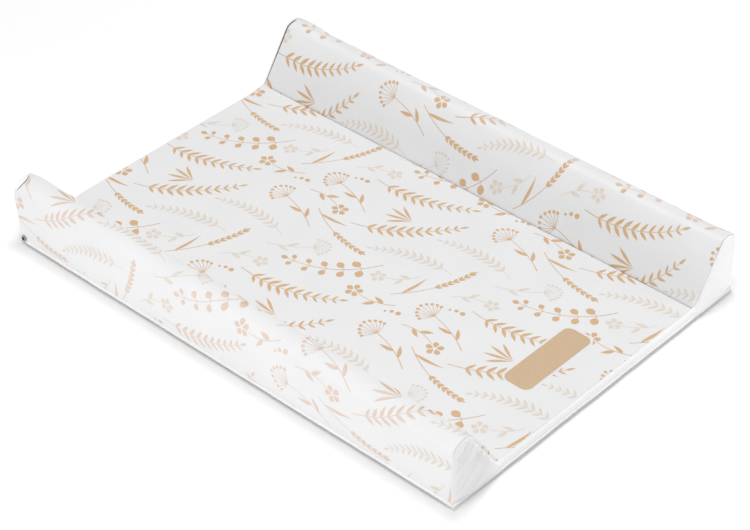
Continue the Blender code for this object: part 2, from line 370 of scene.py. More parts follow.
class MatColours(bpy.types.PropertyGroup):
    """Colours of the mat's finishes, as sRGB hex values"""

    foil: StringProperty(name="Printed foil", description="Ground of the printed foil", default="#E6E6E7")
    white_foil: StringProperty(name="White foil", description="End panels and underside", default="#F0F0F0")
    # Painted highlight: the flange is whiter than the foils so that it stays bright in the shade at the walls' foot
    flange: StringProperty(name="Flange", description="Welded flange round the base", default="#FAFAFA")
    inner_foil: StringProperty(name="Inner foil", description="Foil round the board", default="#DCDEE0")
    ink: StringProperty(name="Ink", description="Full tone of the print", default="#D2AE84")
    pale_ink: StringProperty(name="Pale ink", description="Ghost tone of the print", default="#DDD2C5")
    # Painted highlight: the print's paler tone on the bolsters' outer sides stands in for strong light on the walls
    wall_highlight_ink: StringProperty(name="Wall ink", description="Print washed out by the walls", default="#DDC8BA")
    eyelet: StringProperty(name="Eyelet", description="Rim of the vent", default="#8B8F95")
    # Painted shade: near-black for the vent's bore, where there is only shadow
    vent: StringProperty(name="Vent", description="Dark bore of the vent", default="#1C1E22")
    badge: StringProperty(name="Badge", description="Bare patch at the foot end", default="#CBB08E")
    foam: StringProperty(name="Foam", description="Bolster and seat cores", default="#EFE9D2")
    hardboard: StringProperty(name="Hardboard", description="Stiffening board", default="#7A573A")
    floor: StringProperty(name="Floor", description="Studio floor", default="#FEFEFE")


def linear(hex_value):
    """Linear RGBA of an sRGB hex value."""
    parts = [int(hex_value[i : i + 2], 16) / 255 for i in (1, 3, 5)]
    return [c / 12.92 if c <= 0.04045 else ((c + 0.055) / 1.055) ** 2.4 for c in parts] + [1.0]


def sizes_of(context):
    """The mat's driving sizes with those that follow from them."""
    names = MatSizes.bl_rna.properties.keys()
    given = {name: getattr(context.scene.mat_sizes, name) for name in names if name not in ("rna_type", "name")}
    size = SimpleNamespace(**given)
    size.half_length = size.body_length / 2
    size.half_width = size.body_width / 2
    size.core_inset = size.foil + size.clearance
    size.cover_end = size.half_length - size.core_inset
    size.board_bottom = size.foil + size.clearance
    size.board_top = size.board_bottom + size.board
    size.inner_top = size.board_top + size.clearance + size.foil
    size.foam_floor = size.inner_top + size.clearance
    size.seat_edge = size.foam_floor + size.seat_foam + size.clearance + size.foil
    size.weld_top = size.inner_top + size.clearance + size.foil
    size.skirt_top = size.foil + size.clearance + size.foil
    size.foot_top = size.skirt_top + SKIRT_RISE
    size.wall_foot = size.foot_top + 2 * SEAM_GROOVE
    size.wall_top = size.crest_height - size.crest_rise
    size.shoulder_top = size.crest_height - size.shoulder_drop
    size.crease_inset = size.bolster_width - size.crease_opening / 2
    size.pad_inset = size.bolster_width + size.crease_opening / 2
    return size


def along(start, end, steps):
    """Points on a straight line, without its start."""
    return [tuple(p + i / steps * (q - p) for p, q in zip(start, end)) for i in range(1, steps + 1)]


def curve(start, start_hold, end_hold, end, steps):
    """Points of a cubic curve, without its start."""
    points = []
    for i in range(1, steps + 1):
        t = i / steps
        shares = ((1 - t) ** 3, 3 * t * (1 - t) ** 2, 3 * t * t * (1 - t), t**3)
        corners = (start, start_hold, end_hold, end)
        points.append(tuple(sum(s * corner[k] for s, corner in zip(shares, corners)) for k in (0, 1)))
    return points


def slope_height(size, inset):
    """Height of the bolster's inner slope at a distance in from the outer wall."""
    share = (inset - size.shoulder_inset) / (size.bolster_width - size.shoulder_inset)
    return size.shoulder_top + share * (size.seat_edge - size.shoulder_top)


def skirt_steps(size):
    """The skirt from its welded edge up to the groove at the body's foot: (how far out, height)."""
    rise = size.foot_top - size.skirt_top
    run = size.flange_width - SEAM_GROOVE
    steps = []
    for share in SKIRT_SHARES:
        steps.append((size.flange_width - share * run, size.skirt_top + share**SKIRT_CURVE * rise))
    return steps + [(-GROOVE_IN_SHARE * SEAM_GROOVE, size.foot_top + GROOVE_UP_SHARE * SEAM_GROOVE)]


def half_section(size):
    """One side of the cover's section, from the skirt's edge to the middle: (zone, inset, height)."""
    steps = SECTION_STEPS
    crest = (size.crest_inset, size.crest_height)
    shoulder = (size.shoulder_inset, size.shoulder_top)
    slope_run = (size.bolster_width - size.shoulder_inset) / (size.shoulder_top - size.seat_edge)
    wall_foot = (0.0, size.wall_foot)
    wall_head = (0.0, size.wall_top)
    slope_foot = (size.crease_inset, slope_height(size, size.crease_inset))
    weld_near = (size.bolster_width - size.weld_width / 2, size.weld_top)
    weld_far = (size.bolster_width + size.weld_width / 2, size.weld_top)
    pad_foot = (size.pad_inset, size.seat_edge - size.pad_round)
    pad_head = (size.pad_inset + size.pad_round, size.seat_edge)
    round_hold = HOLD_SHARE * size.pad_round
    zones = {
        "skirt": [(-out, height) for out, height in skirt_steps(size)[1:]] + [wall_foot],
        "wall": along(wall_foot, wall_head, steps["wall"]),
        "outer_round": curve(
            wall_head,
            (0.0, size.wall_top + HOLD_SHARE * size.crest_rise),
            (size.crest_inset * (1 - HOLD_SHARE), size.crest_height),
            crest,
            steps["outer_round"],
        ),
        "inner_round": curve(
            crest,
            (size.crest_inset + HOLD_SHARE * (size.shoulder_inset - size.crest_inset), size.crest_height),
            (
                size.shoulder_inset - HOLD_SHARE * size.shoulder_drop * slope_run,
                size.shoulder_top + HOLD_SHARE * size.shoulder_drop,
            ),
            shoulder,
            steps["inner_round"],
        ),
        "slope": along(shoulder, slope_foot, steps["slope"]),
        "crease": along(slope_foot, weld_near, steps["crease"]),
        "weld": along(weld_near, weld_far, steps["weld"]),
        "pad": along(weld_far, pad_foot, steps["pad"] // 4)
        + curve(
            pad_foot,
            (size.pad_inset, size.seat_edge - size.pad_round + round_hold),
            (size.pad_inset + size.pad_round - round_hold, size.seat_edge),
            pad_head,
            steps["pad"] - steps["pad"] // 4,
        ),
        "seat": along(pad_head, (size.half_width, size.seat_edge), steps["seat"]),
    }
    rows = [("skirt", -size.flange_width, size.skirt_top)]
    for zone, points in zones.items():
        rows += [(zone, inset, height) for inset, height in points]
    return rows


def stations(size):
    """Places along the cover, closer together at its rounded ends."""
    inner = size.cover_end - 3 * size.end_round
    middle = np.linspace(-inner, inner, 2 * round(inner / STATION_STEP) + 1)
    ends = []
    for rounding in (size.head_round, size.end_round):
        turn = np.linspace(0, math.pi / 2, END_STEPS + 1)[1:]
        start = size.cover_end - rounding
        run = inner + (start - inner) * np.linspace(0, 1, RUN_STEPS + 1)[1:]
        ends.append(np.concatenate([run, start + rounding * np.sin(turn)]))
    return np.concatenate([-ends[0][::-1], middle, ends[1]])


def soft_waves(name, x, w):
    """Long soft waves of about one length, running round one heading."""
    height, seed, length, heading, spread, count = WAVES[name]
    rng = np.random.default_rng(seed)
    total = np.zeros(np.broadcast(x, w).shape)
    for _ in range(count):
        turn = heading + spread * rng.uniform(-1, 1)
        size = length * rng.uniform(*WAVE_LENGTH_SHARES)
        phase = rng.uniform(0, 2 * math.pi)
        total += np.sin(2 * math.pi * (x * math.cos(turn) + w * math.sin(turn)) / size + phase)
    return height * total / math.sqrt(2 * count)


def smoothed(values, rows):
    """Values averaged over an odd number of rows."""
    return np.convolve(np.pad(values, rows // 2, mode="edge"), np.ones(rows) / rows, "valid")


def wall_rise(size, z):
    """Height as a share of the wall's."""
    return (z - size.wall_foot) / (size.wall_top - size.wall_foot)


def grid_normals(points):
    """Outward unit normals of a grid of points."""
    normals = np.cross(np.gradient(points, axis=0), np.gradient(points, axis=1))
    return normals / np.linalg.norm(normals, axis=2, keepdims=True)


def end_draw(size, x):
    """How far the cover is drawn in at stations, as a quarter round towards each end."""
    rounding = np.where(x < 0, size.head_round, size.end_round)
    depth = np.where(x < 0, size.head_draw, size.end_draw)
    reach = np.clip(1 - (size.cover_end - np.abs(x)) / rounding, 0, 1)
    return depth * (1 - np.sqrt(1 - reach**2))


def rim_shares(zones):
    """How fully the cover's end is rounded in each zone of its section: most over the bolsters."""
    shares = np.array([RIM_SHARES.get(zone, 0.0) for zone in zones])
    return np.where(np.isin(zones, HELD_ZONES), 0.0, smoothed(shares, RIM_BLEND_ROWS))


def section_grid(size, x, rows, extra_draw=0.0):
    """Insets and heights of section rows at stations, with belly, crown and drawn-in ends."""
    zones = np.array([zone for zone, _, _ in rows])
    inset = np.array([inset for _, inset, _ in rows])[None, :] + 0 * x[:, None]
    height = np.array([height for _, _, height in rows])[None, :] + 0 * x[:, None]
    share = x[:, None] / size.half_length
    belly = (zones == "wall") * size.wall_belly * np.sin(math.pi * wall_rise(size, height))
    inset -= belly * (1 - share**2)
    across = (size.half_width - inset) / (size.half_width - size.bolster_width)
    crown = size.seat_crown * (1 - share**4) * (1 - across**2)
    height += np.isin(zones, ("seat", "pad")) * np.maximum(crown, 0)
    run = np.gradient(inset, axis=1)
    climb = np.gradient(height, axis=1)
    length = np.hypot(run, climb)
    drawn = end_draw(size, x)[:, None] * rim_shares(zones) + extra_draw * ~np.isin(zones, HELD_ZONES)
    return inset + drawn * climb / length, height - drawn * run / length


def flat_places(size, rows):
    """Distance of each section point from the middle of the mat, measured along the foil."""
    inset = np.array([inset for _, inset, _ in rows])
    height = np.array([height for _, _, height in rows])
    steps = np.hypot(np.diff(inset), np.diff(height))
    return np.concatenate([np.cumsum(steps[::-1])[::-1], [0.0]])


def cover_surface(size):
    """The cover's outer face as a grid over the flat foil, along the mat and across it."""
    rows = half_section(size)
    x = stations(size)
    inset, height = section_grid(size, x, rows)
    height = close_creases(size, x, rows, height)
    flat = flat_places(size, rows)
    y = np.concatenate([inset - size.half_width, (size.half_width - inset)[:, -2::-1]], axis=1)
    z = np.concatenate([height, height[:, -2::-1]], axis=1)
    z = z + end_lift(size, x[:, None], y, z)
    w = np.concatenate([-flat, flat[-2::-1]])
    half_zones = [zone for zone, _, _ in rows]
    zones = np.array(half_zones + half_zones[-2::-1])
    points = np.stack([x[:, None] + 0 * y, y, z], axis=2)
    lift = foil_relief(size, x[:, None], w[None, :], zones[None, :], points)
    points = points + lift[:, :, None] * grid_normals(points)
    head_margin(size, points, x, w, zones)
    mitre_skirt(size, points)
    shape_flange(size, points)
    return SimpleNamespace(x=x, w=w, zones=zones, points=points, normals=grid_normals(points))


def end_lift(size, x, y, z):
    """How far the bolsters' tops stand over their middle height by the ends."""
    from_head, from_foot = size.half_length + x, size.half_length - x
    seat_top = size.seat_edge + size.seat_crown
    level = np.clip((z - seat_top) / (size.wall_top - seat_top), 0, 1)
    lift_share = eased(1 - (from_head - LIFT_HOLD) / LIFT_FADE)
    droop_share = np.exp(-from_head / DROOP_REACH)
    left = LEFT_HEAD_LIFT * lift_share - LEFT_DROOP * droop_share
    right = RIGHT_HEAD_LIFT * lift_share - RIGHT_DROOP * droop_share
    right = right + RIGHT_FOOT_LIFT * np.exp(-from_foot / FOOT_LIFT_REACH)
    return level * np.where(y < 0, left, right)


def close_creases(size, x, rows, height):
    """Brings the creases up to the seat's level by the head end, where their welds stop short of it."""
    share = np.clip((CREASE_STOP - x - size.cover_end) / CREASE_FADE, 0, 1)[:, None]
    low = np.array([zone in ("crease", "weld", "pad") for zone, _, _ in rows])
    return height + low * share * (size.seat_edge - height)


def foil_relief(size, x, w, zones, points):
    """Height of the foil's soft waves and puckers over its smooth shape."""
    z = points[:, :, 2]
    near_end = np.exp(-(size.half_length - np.abs(x)) / RELIEF_END_REACH)
    wall = (zones == "wall") * np.sin(math.pi * np.clip(wall_rise(size, z), 0, 1)) ** WALL_WAVE_POWER
    lift = wall * soft_waves("wall", x, w) * (1 + near_end)
    top = np.isin(zones, ("outer_round", "inner_round"))
    lift = lift + top * soft_waves("top", x + TOP_WAVE_SKEW * np.sign(w) * w, w)
    fall = np.clip((size.shoulder_top - z) / size.shoulder_top, 0, 1)
    slope = (zones == "slope") * np.sin(math.pi * fall)
    lift = lift + slope * soft_waves("slope", x, w) * (1 + SLOPE_END_SHARE * near_end)
    from_pad = size.half_width - np.abs(points[:, :, 1]) - size.pad_inset
    seat = (zones == "seat") * np.clip(from_pad / SEAT_WAVE_REACH, 0, 1)
    lift = lift + seat * (soft_waves("seat", x, w) + near_end * soft_waves("seat_end", x, w))
    return lift * np.clip((size.cover_end - np.abs(x)) / RELIEF_FADE, 0, 1)


def last_index(zones, zone):
    """Place of the last row of a zone in a list of zones."""
    return len(zones) - 1 - zones[::-1].index(zone)


def last_place(size, zone):
    """Distance of a zone's inner end from the middle of the mat, measured along the foil."""
    rows = half_section(size)
    return flat_places(size, rows)[last_index([row[0] for row in rows], zone)]


def left_share(size, w):
    """One where the head seam gapes, on the outer side of the left crest."""
    return np.exp(-(((w + last_place(size, "outer_round") + LEFT_SLIT_SHIFT) / LEFT_SLIT_REACH) ** 4))


def right_share(size, w):
    """One where the head panel's foil laps over the right crest."""
    return np.exp(-(((w - last_place(size, "outer_round") + RIGHT_SLIT_SHIFT) / RIGHT_SLIT_REACH) ** 4))


def head_lip(size, w):
    """Width of the lip that the head panel's foil turns over the cover's end."""
    uneven = soft_waves("lip", w, 0 * w)
    left, right = (LEFT_LIP + uneven) * left_share(size, w), (RIGHT_LIP + uneven) * right_share(size, w)
    return LIP_WIDTH + left + right


def head_gap(size, w):
    """Width of the slit between that lip and the cover: widest up the right bolster's slope."""
    crease, crest = last_place(size, "crease"), last_place(size, "outer_round")
    places = (-crest, -crease, crease, crease + SLIT_BLEND, crest - SLIT_BLEND, crest, crest + SLIT_BLEND)
    widths = (WALL_SLIT, SEAT_SLIT, SEAT_SLIT, LOW_SLOPE_SLIT, HIGH_SLOPE_SLIT, HIGH_SLOPE_SLIT, WALL_SLIT)
    return np.interp(w, places, widths) + LEFT_SLIT * left_share(size, w)


def eased(share):
    """A share from 0 to 1 with an easy start and end."""
    share = np.clip(share, 0, 1)
    return share**2 * (3 - 2 * share)


def head_reach(size, y, z):
    """How far the stuffed bolsters and the seat push the head end out, at places on it."""
    rise = wall_rise(size, z)
    left, right = LEFT_PUFF * eased(LEFT_PUFF_SHARE * rise), RIGHT_PUFF * eased(RIGHT_PUFF_SHARE * rise)
    bolster = np.where(y < 0, left, right)
    seat = SEAT_PUFF * eased((z - size.wall_foot) / (size.seat_edge - size.wall_foot))
    share = eased(1 - (size.half_width - np.abs(y) - size.bolster_width) / PUFF_BLEND)
    return share * bolster + (1 - share) * seat


def head_margin(size, points, x, w, zones):
    """Moves the cover's head end out with the stuffing, and back behind the lip and the slit."""
    margin = head_lip(size, w) + head_gap(size, w) - head_reach(size, points[0, :, 1], points[0, :, 2])
    fade = np.exp(-(size.cover_end + x) / HEAD_FADE)[:, None]
    points[:, :, 0] += fade * (margin * (zones != "skirt"))[None, :]


def mitre_skirt(size, points):
    """Runs the skirt's end points out to the flange's corners."""
    for row, side in ((points[0], -1), (points[-1], 1)):
        out = np.maximum(0, np.abs(row[:, 1]) - size.half_width)
        row[:, 0] += side * np.minimum(out, size.flange_width)


def shape_flange(size, points):
    """Shapes the welded flange, alike in every foil that it holds."""
    narrow_sides(size, points)
    wander(size, points)
    trim_corners(size, points)


def narrow_sides(size, points):
    """Trims the flange closer beside the walls than at the ends."""
    out = np.maximum(0, np.abs(points[..., 1]) - size.half_width) * (points[..., 2] < size.wall_foot)
    points[..., 1] -= np.sign(points[..., 1]) * (1 - SIDE_FLANGE_SHARE) * out


def wander(size, points):
    """Lets the flange's edge wander a little."""
    x, y = points[..., 0].copy(), points[..., 1].copy()
    out_x = np.clip((np.abs(x) - size.half_length) / size.flange_width, 0, 1)
    out_y = np.clip((np.abs(y) - size.half_width) / size.flange_width, 0, 1)
    rough = soft_waves("flange_edge", x, y)
    points[..., 0] += np.sign(x) * out_x * rough
    points[..., 1] += np.sign(y) * out_y * rough
    lift = soft_waves("flange_lift", x, y)
    points[..., 2] += np.maximum(out_x, out_y) * np.maximum(FLANGE_RAISE + lift, 0)


def trim_corners(size, points):
    """Cuts the flange back to the body at two corners."""
    x, y = points[..., 0].copy(), points[..., 1].copy()
    low = TRIMMED_SHARE * (points[..., 2] < size.wall_foot)
    for side_x, side_y, along_wall, along_end in TRIMMED_CORNERS:
        out_x = low * np.clip(side_x * x - size.half_length, 0, 2 * size.flange_width)
        out_y = low * np.clip(side_y * y - size.half_width, 0, 2 * size.flange_width)
        near_end = eased((side_x * x - size.half_length + along_wall) / TRIM_FADE)
        near_wall = eased((side_y * y - size.half_width + along_end) / TRIM_FADE)
        points[..., 0] -= side_x * out_x * near_wall
        points[..., 1] -= side_y * out_y * near_end


def end_outline(size, station, extra_draw):
    """Outline of an end over the whole width: across, height, zone and flat place of each point."""
    rows = half_section(size)
    inset, height = section_grid(size, np.array([station]), rows, extra_draw)
    zones = [row[0] for row in rows]
    first = zones.index("wall") - 1
    kept = [i for i in range(first, len(zones)) if zones[i] not in ("crease", "weld", "pad")]
    kept = sorted(kept + [last_index(zones, "pad")])
    inset, height = inset[0, kept], height[0, kept]
    y = np.concatenate([inset - size.half_width, (size.half_width - inset)[-2::-1]])
    z = np.concatenate([height, height[-2::-1]])
    flat = flat_places(size, rows)[kept]
    half_zones = [zones[i] for i in kept]
    return y, z, np.array(half_zones + half_zones[-2::-1]), np.concatenate([-flat, flat[-2::-1]])


def bottom_places(size, y, z, zones):
    """Where each point of an end's outline has its foot on the end's lower edge."""
    step = np.hypot(np.diff(y), np.diff(z))
    run = np.concatenate([[0.0], np.cumsum(step)])
    first = np.flatnonzero(np.isin(zones, ("pad", "seat")))[0]
    share = run[:first] / run[first]
    inset = share * (y[first] + size.half_width)
    feet = y.copy()
    feet[:first] = inset - size.half_width
    feet[-first:] = size.half_width - inset[::-1]
    return feet


def fold_height(y, z, size, strength):
    """Height of the soft folds on a bolster end: level at the wall and swept up towards the slope."""
    away = size.half_width - np.abs(y)
    climb = FOLD_SWEEP * away**2 / (away + FOLD_LEVEL)
    phase = 2 * math.pi * (z - climb + soft_waves("fold", y, z)) / FOLD_PITCH
    folds = FOLD_SHARE * np.sin(phase + FOLD_SKEW * np.sin(phase))
    folds = folds + SIDE_FOLD_SHARE * np.sin(SIDE_FOLD_PACE * phase + SIDE_FOLD_PHASE)
    across = away / size.bolster_width
    return strength * folds * eased(across / FOLD_WALL_SHARE) * eased((1.0 - across) / FOLD_SLOPE_SHARE)


def end_panel(size, side):
    """Points and flat places of an end panel, from its flange up its face and round its upper edge."""
    if side > 0:
        y, z, zones, w = end_outline(size, size.cover_end, size.foil)
        z = z + end_lift(size, size.cover_end, y, z)
        drop = rim_gap(y, zones)
        reach_out = 0 * y
    else:
        y, z, zones, w = end_outline(size, size.head_round - size.cover_end, 0.0)
        z = z + end_lift(size, -size.cover_end, y, z)
        drop = EDGE_DEPTH + 0 * y
        reach_out = head_reach(size, y, z)
    drop = drop * np.clip((z - size.wall_foot) / (2 * EDGE_ROUND), 0, 1)
    normal_y, normal_z = outline_normals(y, z)
    y, z = y - drop * normal_y, z - drop * normal_z
    feet = bottom_places(size, y, z, zones)
    reach = np.hypot(y - feet, z - size.wall_foot)
    edge = np.array(EDGE_STEPS)[None, :] * EDGE_ROUND * np.clip(reach / (4 * EDGE_ROUND), 0, 1)[:, None]
    face = np.linspace(0, 1, FACE_STEPS + 1)[None, :] * (reach - edge[:, 0])[:, None]
    up = np.concatenate([face, reach[:, None] - edge[:, 1:]], axis=1)
    share = up / np.maximum(reach, MM * MM)[:, None]
    across = feet[:, None] + share * (y - feet)[:, None]
    height = size.wall_foot + share * (z - size.wall_foot)[:, None]
    left = reach[:, None] - up
    over_seat = np.isin(zones, ("pad", "seat"))[:, None]
    swell = np.where(over_seat, SEAT_BULGE, size.panel_bulge)
    wall_reach = BULGE_WALL_SHARE * size.bolster_width
    away = np.clip((size.half_width - np.abs(across)) / wall_reach, 0, 1)
    out = swell * np.sin(math.pi * np.clip(share, 0, 1)) ** BULGE_POWER
    out = out * np.where(over_seat, 1, np.sin(away * math.pi / 2))
    strength = np.where(side < 0, HEAD_FOLDS, np.where(across < 0, NEAR_FOLDS, FAR_FOLDS))
    calm = np.clip(left / FOLD_TOP_FADE, 0, 1) * np.clip(up / FOLD_FOOT_FADE, 0, 1) * ~over_seat
    out = out + calm * fold_height(across, height, size, strength)
    turn = np.clip(1 - left / EDGE_ROUND, 0, 1) * (side > 0)
    out = out - EDGE_DEPTH * (1 - np.sqrt(np.maximum(0, 1 - turn**2))) + reach_out[:, None] * share
    lead = FOOT_LEAD * np.clip((size.half_width - np.abs(feet)) / wall_reach, 0, 1)
    out = out + lead[:, None] * np.exp(-(height - size.wall_foot) / FOOT_LEAD_RISE) * (1 - share)
    face_grid = np.stack([side * (size.half_length + out), across, height], axis=2)
    flange = []
    for step_out, step_height in skirt_steps(size):
        spread = feet * (1 + step_out / size.half_width)
        place = side * (size.half_length + lead + step_out * (1 - lead / size.flange_width))
        flange.append(np.stack([0 * feet + place, spread, 0 * feet + step_height], axis=1))
    if side < 0:
        turned_in = head_turnover(size, y, z, w, drop, normal_y, normal_z)
        turned_in[:, :, 0] -= reach_out[:, None]
    else:
        turned_in = foot_hem(size, y, z, normal_y, normal_z)
    points = np.concatenate([np.stack(flange, axis=1), face_grid, turned_in], axis=1)
    shape_flange(size, points)
    overhang = np.abs(np.abs(points[:, :, 0]) - size.half_length)
    flat = np.stack([points[:, :, 1], points[:, :, 2] + overhang], axis=2)
    return points, flat


def rim_gap(y, zones):
    """Gap between the foot panel and the cover's rim, zone by zone."""
    crest = np.isin(zones, ("outer_round", "inner_round"))
    wall = np.isin(zones, ("wall", "outer_round")) & (y > 0)
    places = [crest & (y < 0), wall, crest, zones == "slope", np.isin(zones, ("pad", "seat"))]
    widths = [LEFT_CREST_GAP, RIGHT_WALL_GAP, RIGHT_CREST_GAP, SLOPE_GAP, SEAT_GAP]
    return smoothed(np.select(places, widths, CLOSED_GAP), GAP_BLEND_ROWS)


def outline_normals(y, z):
    """Outward unit normals along an end's outline."""
    step_y, step_z = np.gradient(y), np.gradient(z)
    length = np.hypot(step_y, step_z)
    return -step_z / length, step_y / length


def head_turnover(size, y, z, w, drop, normal_y, normal_z):
    """Rows that carry the head panel's foil over its upper edge and end in the lip on the cover."""
    run = np.maximum(size.core_inset + head_lip(size, w) - drop, LIP_LEAST)
    ruffle = (left_share(size, w) + right_share(size, w)) * soft_waves("ruffle", w, 0 * w)
    rows = []
    for turn in LIP_TURNS:
        angle = turn * math.pi / 2
        rows.append((size.half_length - drop * (1 - math.cos(angle)), (drop + ruffle) * math.sin(angle)))
    for share, dip in LIP_RUNS:
        rows.append((size.half_length - drop - share * run, drop + (1 - share) * ruffle - dip))
    placed = [np.stack([-place, y + out * normal_y, z + out * normal_z], axis=1) for place, out in rows]
    return np.stack(placed, axis=1)


def foot_hem(size, y, z, normal_y, normal_z):
    """Rows that carry the foot panel's foil in under the cover, clear of the creases and the flange."""
    from_crease = np.abs(size.half_width - np.abs(y) - size.bolster_width)
    share = np.clip((from_crease - HEM_CLEAR) / HEM_FADE, 0, 1)
    share = share * np.clip((z - size.wall_foot) / (2 * EDGE_ROUND), 0, 1)
    rows = []
    for run, deep in HEM_STEPS:
        place = size.half_length - EDGE_DEPTH - share * run
        rows.append(np.stack([place, y - share * deep * normal_y, z - share * deep * normal_z], axis=1))
    return np.stack(rows, axis=1)


def core_stations(size):
    """Places along a bolster's foam, and how far it is drawn in there by its rounded ends."""
    end = size.half_length - END_SETBACK
    turn = np.linspace(0, math.pi / 2, ROUND_STEPS + 1)
    head = -end + HEAD_FOAM_ROUND * (1 - np.cos(turn))
    foot = end - FOOT_FOAM_ROUND * (1 - np.cos(turn[::-1]))
    middle = np.linspace(head[-1], foot[0], CORE_STEPS + 1)[1:-1]
    head_draw = HEAD_FOAM_ROUND * (1 - np.sin(turn))
    foot_draw = FOOT_FOAM_ROUND * (1 - np.sin(turn[::-1]))
    return np.concatenate([head, middle, foot]), np.concatenate([head_draw, 0 * middle, foot_draw])


def ring_mesh(name, rings):
    """A closed mesh over rings of equal count, with a face over each end."""
    count, around = rings.shape[:2]
    index = np.arange(count * around).reshape(count, around)
    beside = np.roll(index, -1, axis=1)
    quads = np.stack([index[:-1], index[1:], beside[1:], beside[:-1]], axis=2).reshape(-1, 4).tolist()
    faces = quads + [index[0].tolist(), index[-1][::-1].tolist()]
    piece = new_piece(name, rings.reshape(-1, 3).tolist(), faces)
    join_doubles(piece, bpy.ops.mesh.normals_make_consistent, inside=False)
    return piece


def join_doubles(piece, finish, **options):
    """Joins the doubled points of a piece, and runs one more step on its mesh."""
    select_only(piece)
    bpy.ops.object.mode_set(mode="EDIT")
    bpy.ops.mesh.select_all(action="SELECT")
    bpy.ops.mesh.remove_doubles(threshold=JOIN_DISTANCE)
    finish(**options)
    bpy.ops.object.mode_set(mode="OBJECT")


def bolster_core(size, name, side):
    """The foam of one bolster, a little smaller than its foil and rounder at its head end."""
    kept = ("wall", "outer_round", "inner_round", "slope")
    rows = [row for row in half_section(size) if row[0] in kept]
    x, draw = core_stations(size)
    clearance = size.core_inset + CORE_CLEARANCE + draw[:, None]
    share = x[:, None] / size.half_length
    inset, height = section_grid(size, 0 * x, rows, 0.0)
    zones = np.array([zone for zone, _, _ in rows])
    belly = (zones == "wall") * size.wall_belly * np.sin(math.pi * wall_rise(size, height))
    inset = inset + belly * share**2
    run, climb = np.gradient(inset, axis=1), np.gradient(height, axis=1)
    length = np.hypot(run, climb)
    inset, height = inset + clearance * climb / length, height - clearance * run / length
    inset = np.minimum(inset, size.crease_inset - size.core_inset)
    height = np.maximum(height, size.foam_floor)
    floor_share = np.linspace(*CORE_FLOOR_SHARES, CORE_FLOOR_STEPS)[None, :]
    floor_inset = inset[:, -1:] + floor_share * (inset[:, :1] - inset[:, -1:])
    inset = np.concatenate([inset, floor_inset], axis=1)
    height = np.concatenate([height, 0 * floor_inset + size.foam_floor], axis=1)
    y = side * (size.half_width - inset)
    height = height + end_lift(size, x[:, None], y, height)
    return ring_mesh(name, np.stack([x[:, None] + 0 * y, y, height], axis=2))


def seat_core(size, name):
    """The thin foam of the seat, crowned to its middle."""
    half = size.half_width - size.pad_inset - size.core_inset - CORE_CLEARANCE
    y = np.linspace(-half, half, SEAT_CORE_STEPS)
    crown = size.seat_crown * (1 - (y / half) ** 2)
    edge_drop = size.pad_round * (np.abs(y) / half) ** SEAT_CORE_POWER
    top = size.foam_floor + size.seat_foam + crown - CORE_CLEARANCE - edge_drop
    inset = np.concatenate([y, y[::-1]])
    height = np.concatenate([top, 0 * y + size.foam_floor])
    end = size.half_length - END_SETBACK
    x = np.linspace(HEAD_FOAM_ROUND - end, end, CORE_STEPS + 1)
    share = 1 - np.abs(x / end) ** 4
    crown_drop = size.seat_crown * (1 - (inset / half) ** 2) * (height > size.foam_floor)
    z = height[None, :] - (1 - share)[:, None] * crown_drop[None, :]
    rings = np.stack([x[:, None] + 0 * z, inset[None, :] + 0 * z, z], axis=2)
    return ring_mesh(name, rings)


def wrapped_tray(size, name):
    """The foil over the board: a flat top with round corners and an edge turned down."""
    half_x = size.half_length - size.core_inset
    half_y = size.half_width - size.core_inset
    corner = BOARD_CORNER + size.core_inset
    rings = []
    levels = ((0.0, size.board_bottom), (0.0, size.inner_top - TRAY_ROUND), (TRAY_ROUND, size.inner_top))
    for shrink, z in levels:
        outline = rounded_rectangle(half_x - shrink, half_y - shrink, corner - shrink)
        rings.append([(x, y, z) for x, y in outline])
    for inner_share in TRAY_SHARES:
        rings.append([(x * inner_share, y * inner_share, size.inner_top) for x, y, _ in rings[2]])
    rings = np.array(rings)
    count, around = rings.shape[:2]
    index = np.arange(count * around).reshape(count, around)
    beside = np.roll(index, -1, axis=1)
    quads = np.stack([index[:-1], beside[:-1], beside[1:], index[1:]], axis=2).reshape(-1, 4).tolist()
    return new_piece(name, rings.reshape(-1, 3).tolist(), quads + [index[-1].tolist()])


def underside_grid(size):
    """Points and flat places of the foil underneath, with soft waves inside its welded edge."""
    reach_x = size.half_length + size.flange_width
    reach_y = size.half_width + size.flange_width
    edge = np.array(UNDERSIDE_EDGE_SHARES) * size.flange_width
    middle_x = np.linspace(-UNDERSIDE_LENGTH_SHARE, UNDERSIDE_LENGTH_SHARE, UNDERSIDE_STEPS[0]) * reach_x
    middle_y = np.linspace(-UNDERSIDE_WIDTH_SHARE, UNDERSIDE_WIDTH_SHARE, UNDERSIDE_STEPS[1]) * reach_y
    x = np.concatenate([-reach_x + edge[::-1], middle_x, reach_x - edge])
    y = np.concatenate([-reach_y + edge[::-1], middle_y, reach_y - edge])
    grid_x, grid_y = np.meshgrid(x, y, indexing="ij")
    inner = np.minimum(size.half_length - np.abs(grid_x), size.half_width - np.abs(grid_y))
    calm = np.clip(inner / UNDERSIDE_CALM, 0, 1)
    waves = UNDERSIDE_WAVES / 2 + soft_waves("underside", grid_x, grid_y)
    points = np.stack([grid_x, grid_y, calm * np.clip(waves, 0, UNDERSIDE_WAVES)], axis=2)
    flat = np.stack([grid_x, grid_y], axis=2)
    shape_flange(size, points)
    return points, flat


def grid_mesh(name, points, flat, flip=False):
    """A mesh object of quads over a grid of points, with its flat places as UV map."""
    count_x, count_w = points.shape[:2]
    index = np.arange(count_x * count_w).reshape(count_x, count_w)
    quads = np.stack([index[:-1, :-1], index[1:, :-1], index[1:, 1:], index[:-1, 1:]], axis=2)
    quads = quads.reshape(-1, 4)[:, ::-1] if flip else quads.reshape(-1, 4)
    piece = new_piece(name, points.reshape(-1, 3).tolist(), quads.tolist())
    places = flat.reshape(-1, 2)[quads.ravel()]
    piece.data.uv_layers.new(name="foil").data.foreach_set("uv", places.astype(np.float32).ravel())
    return piece


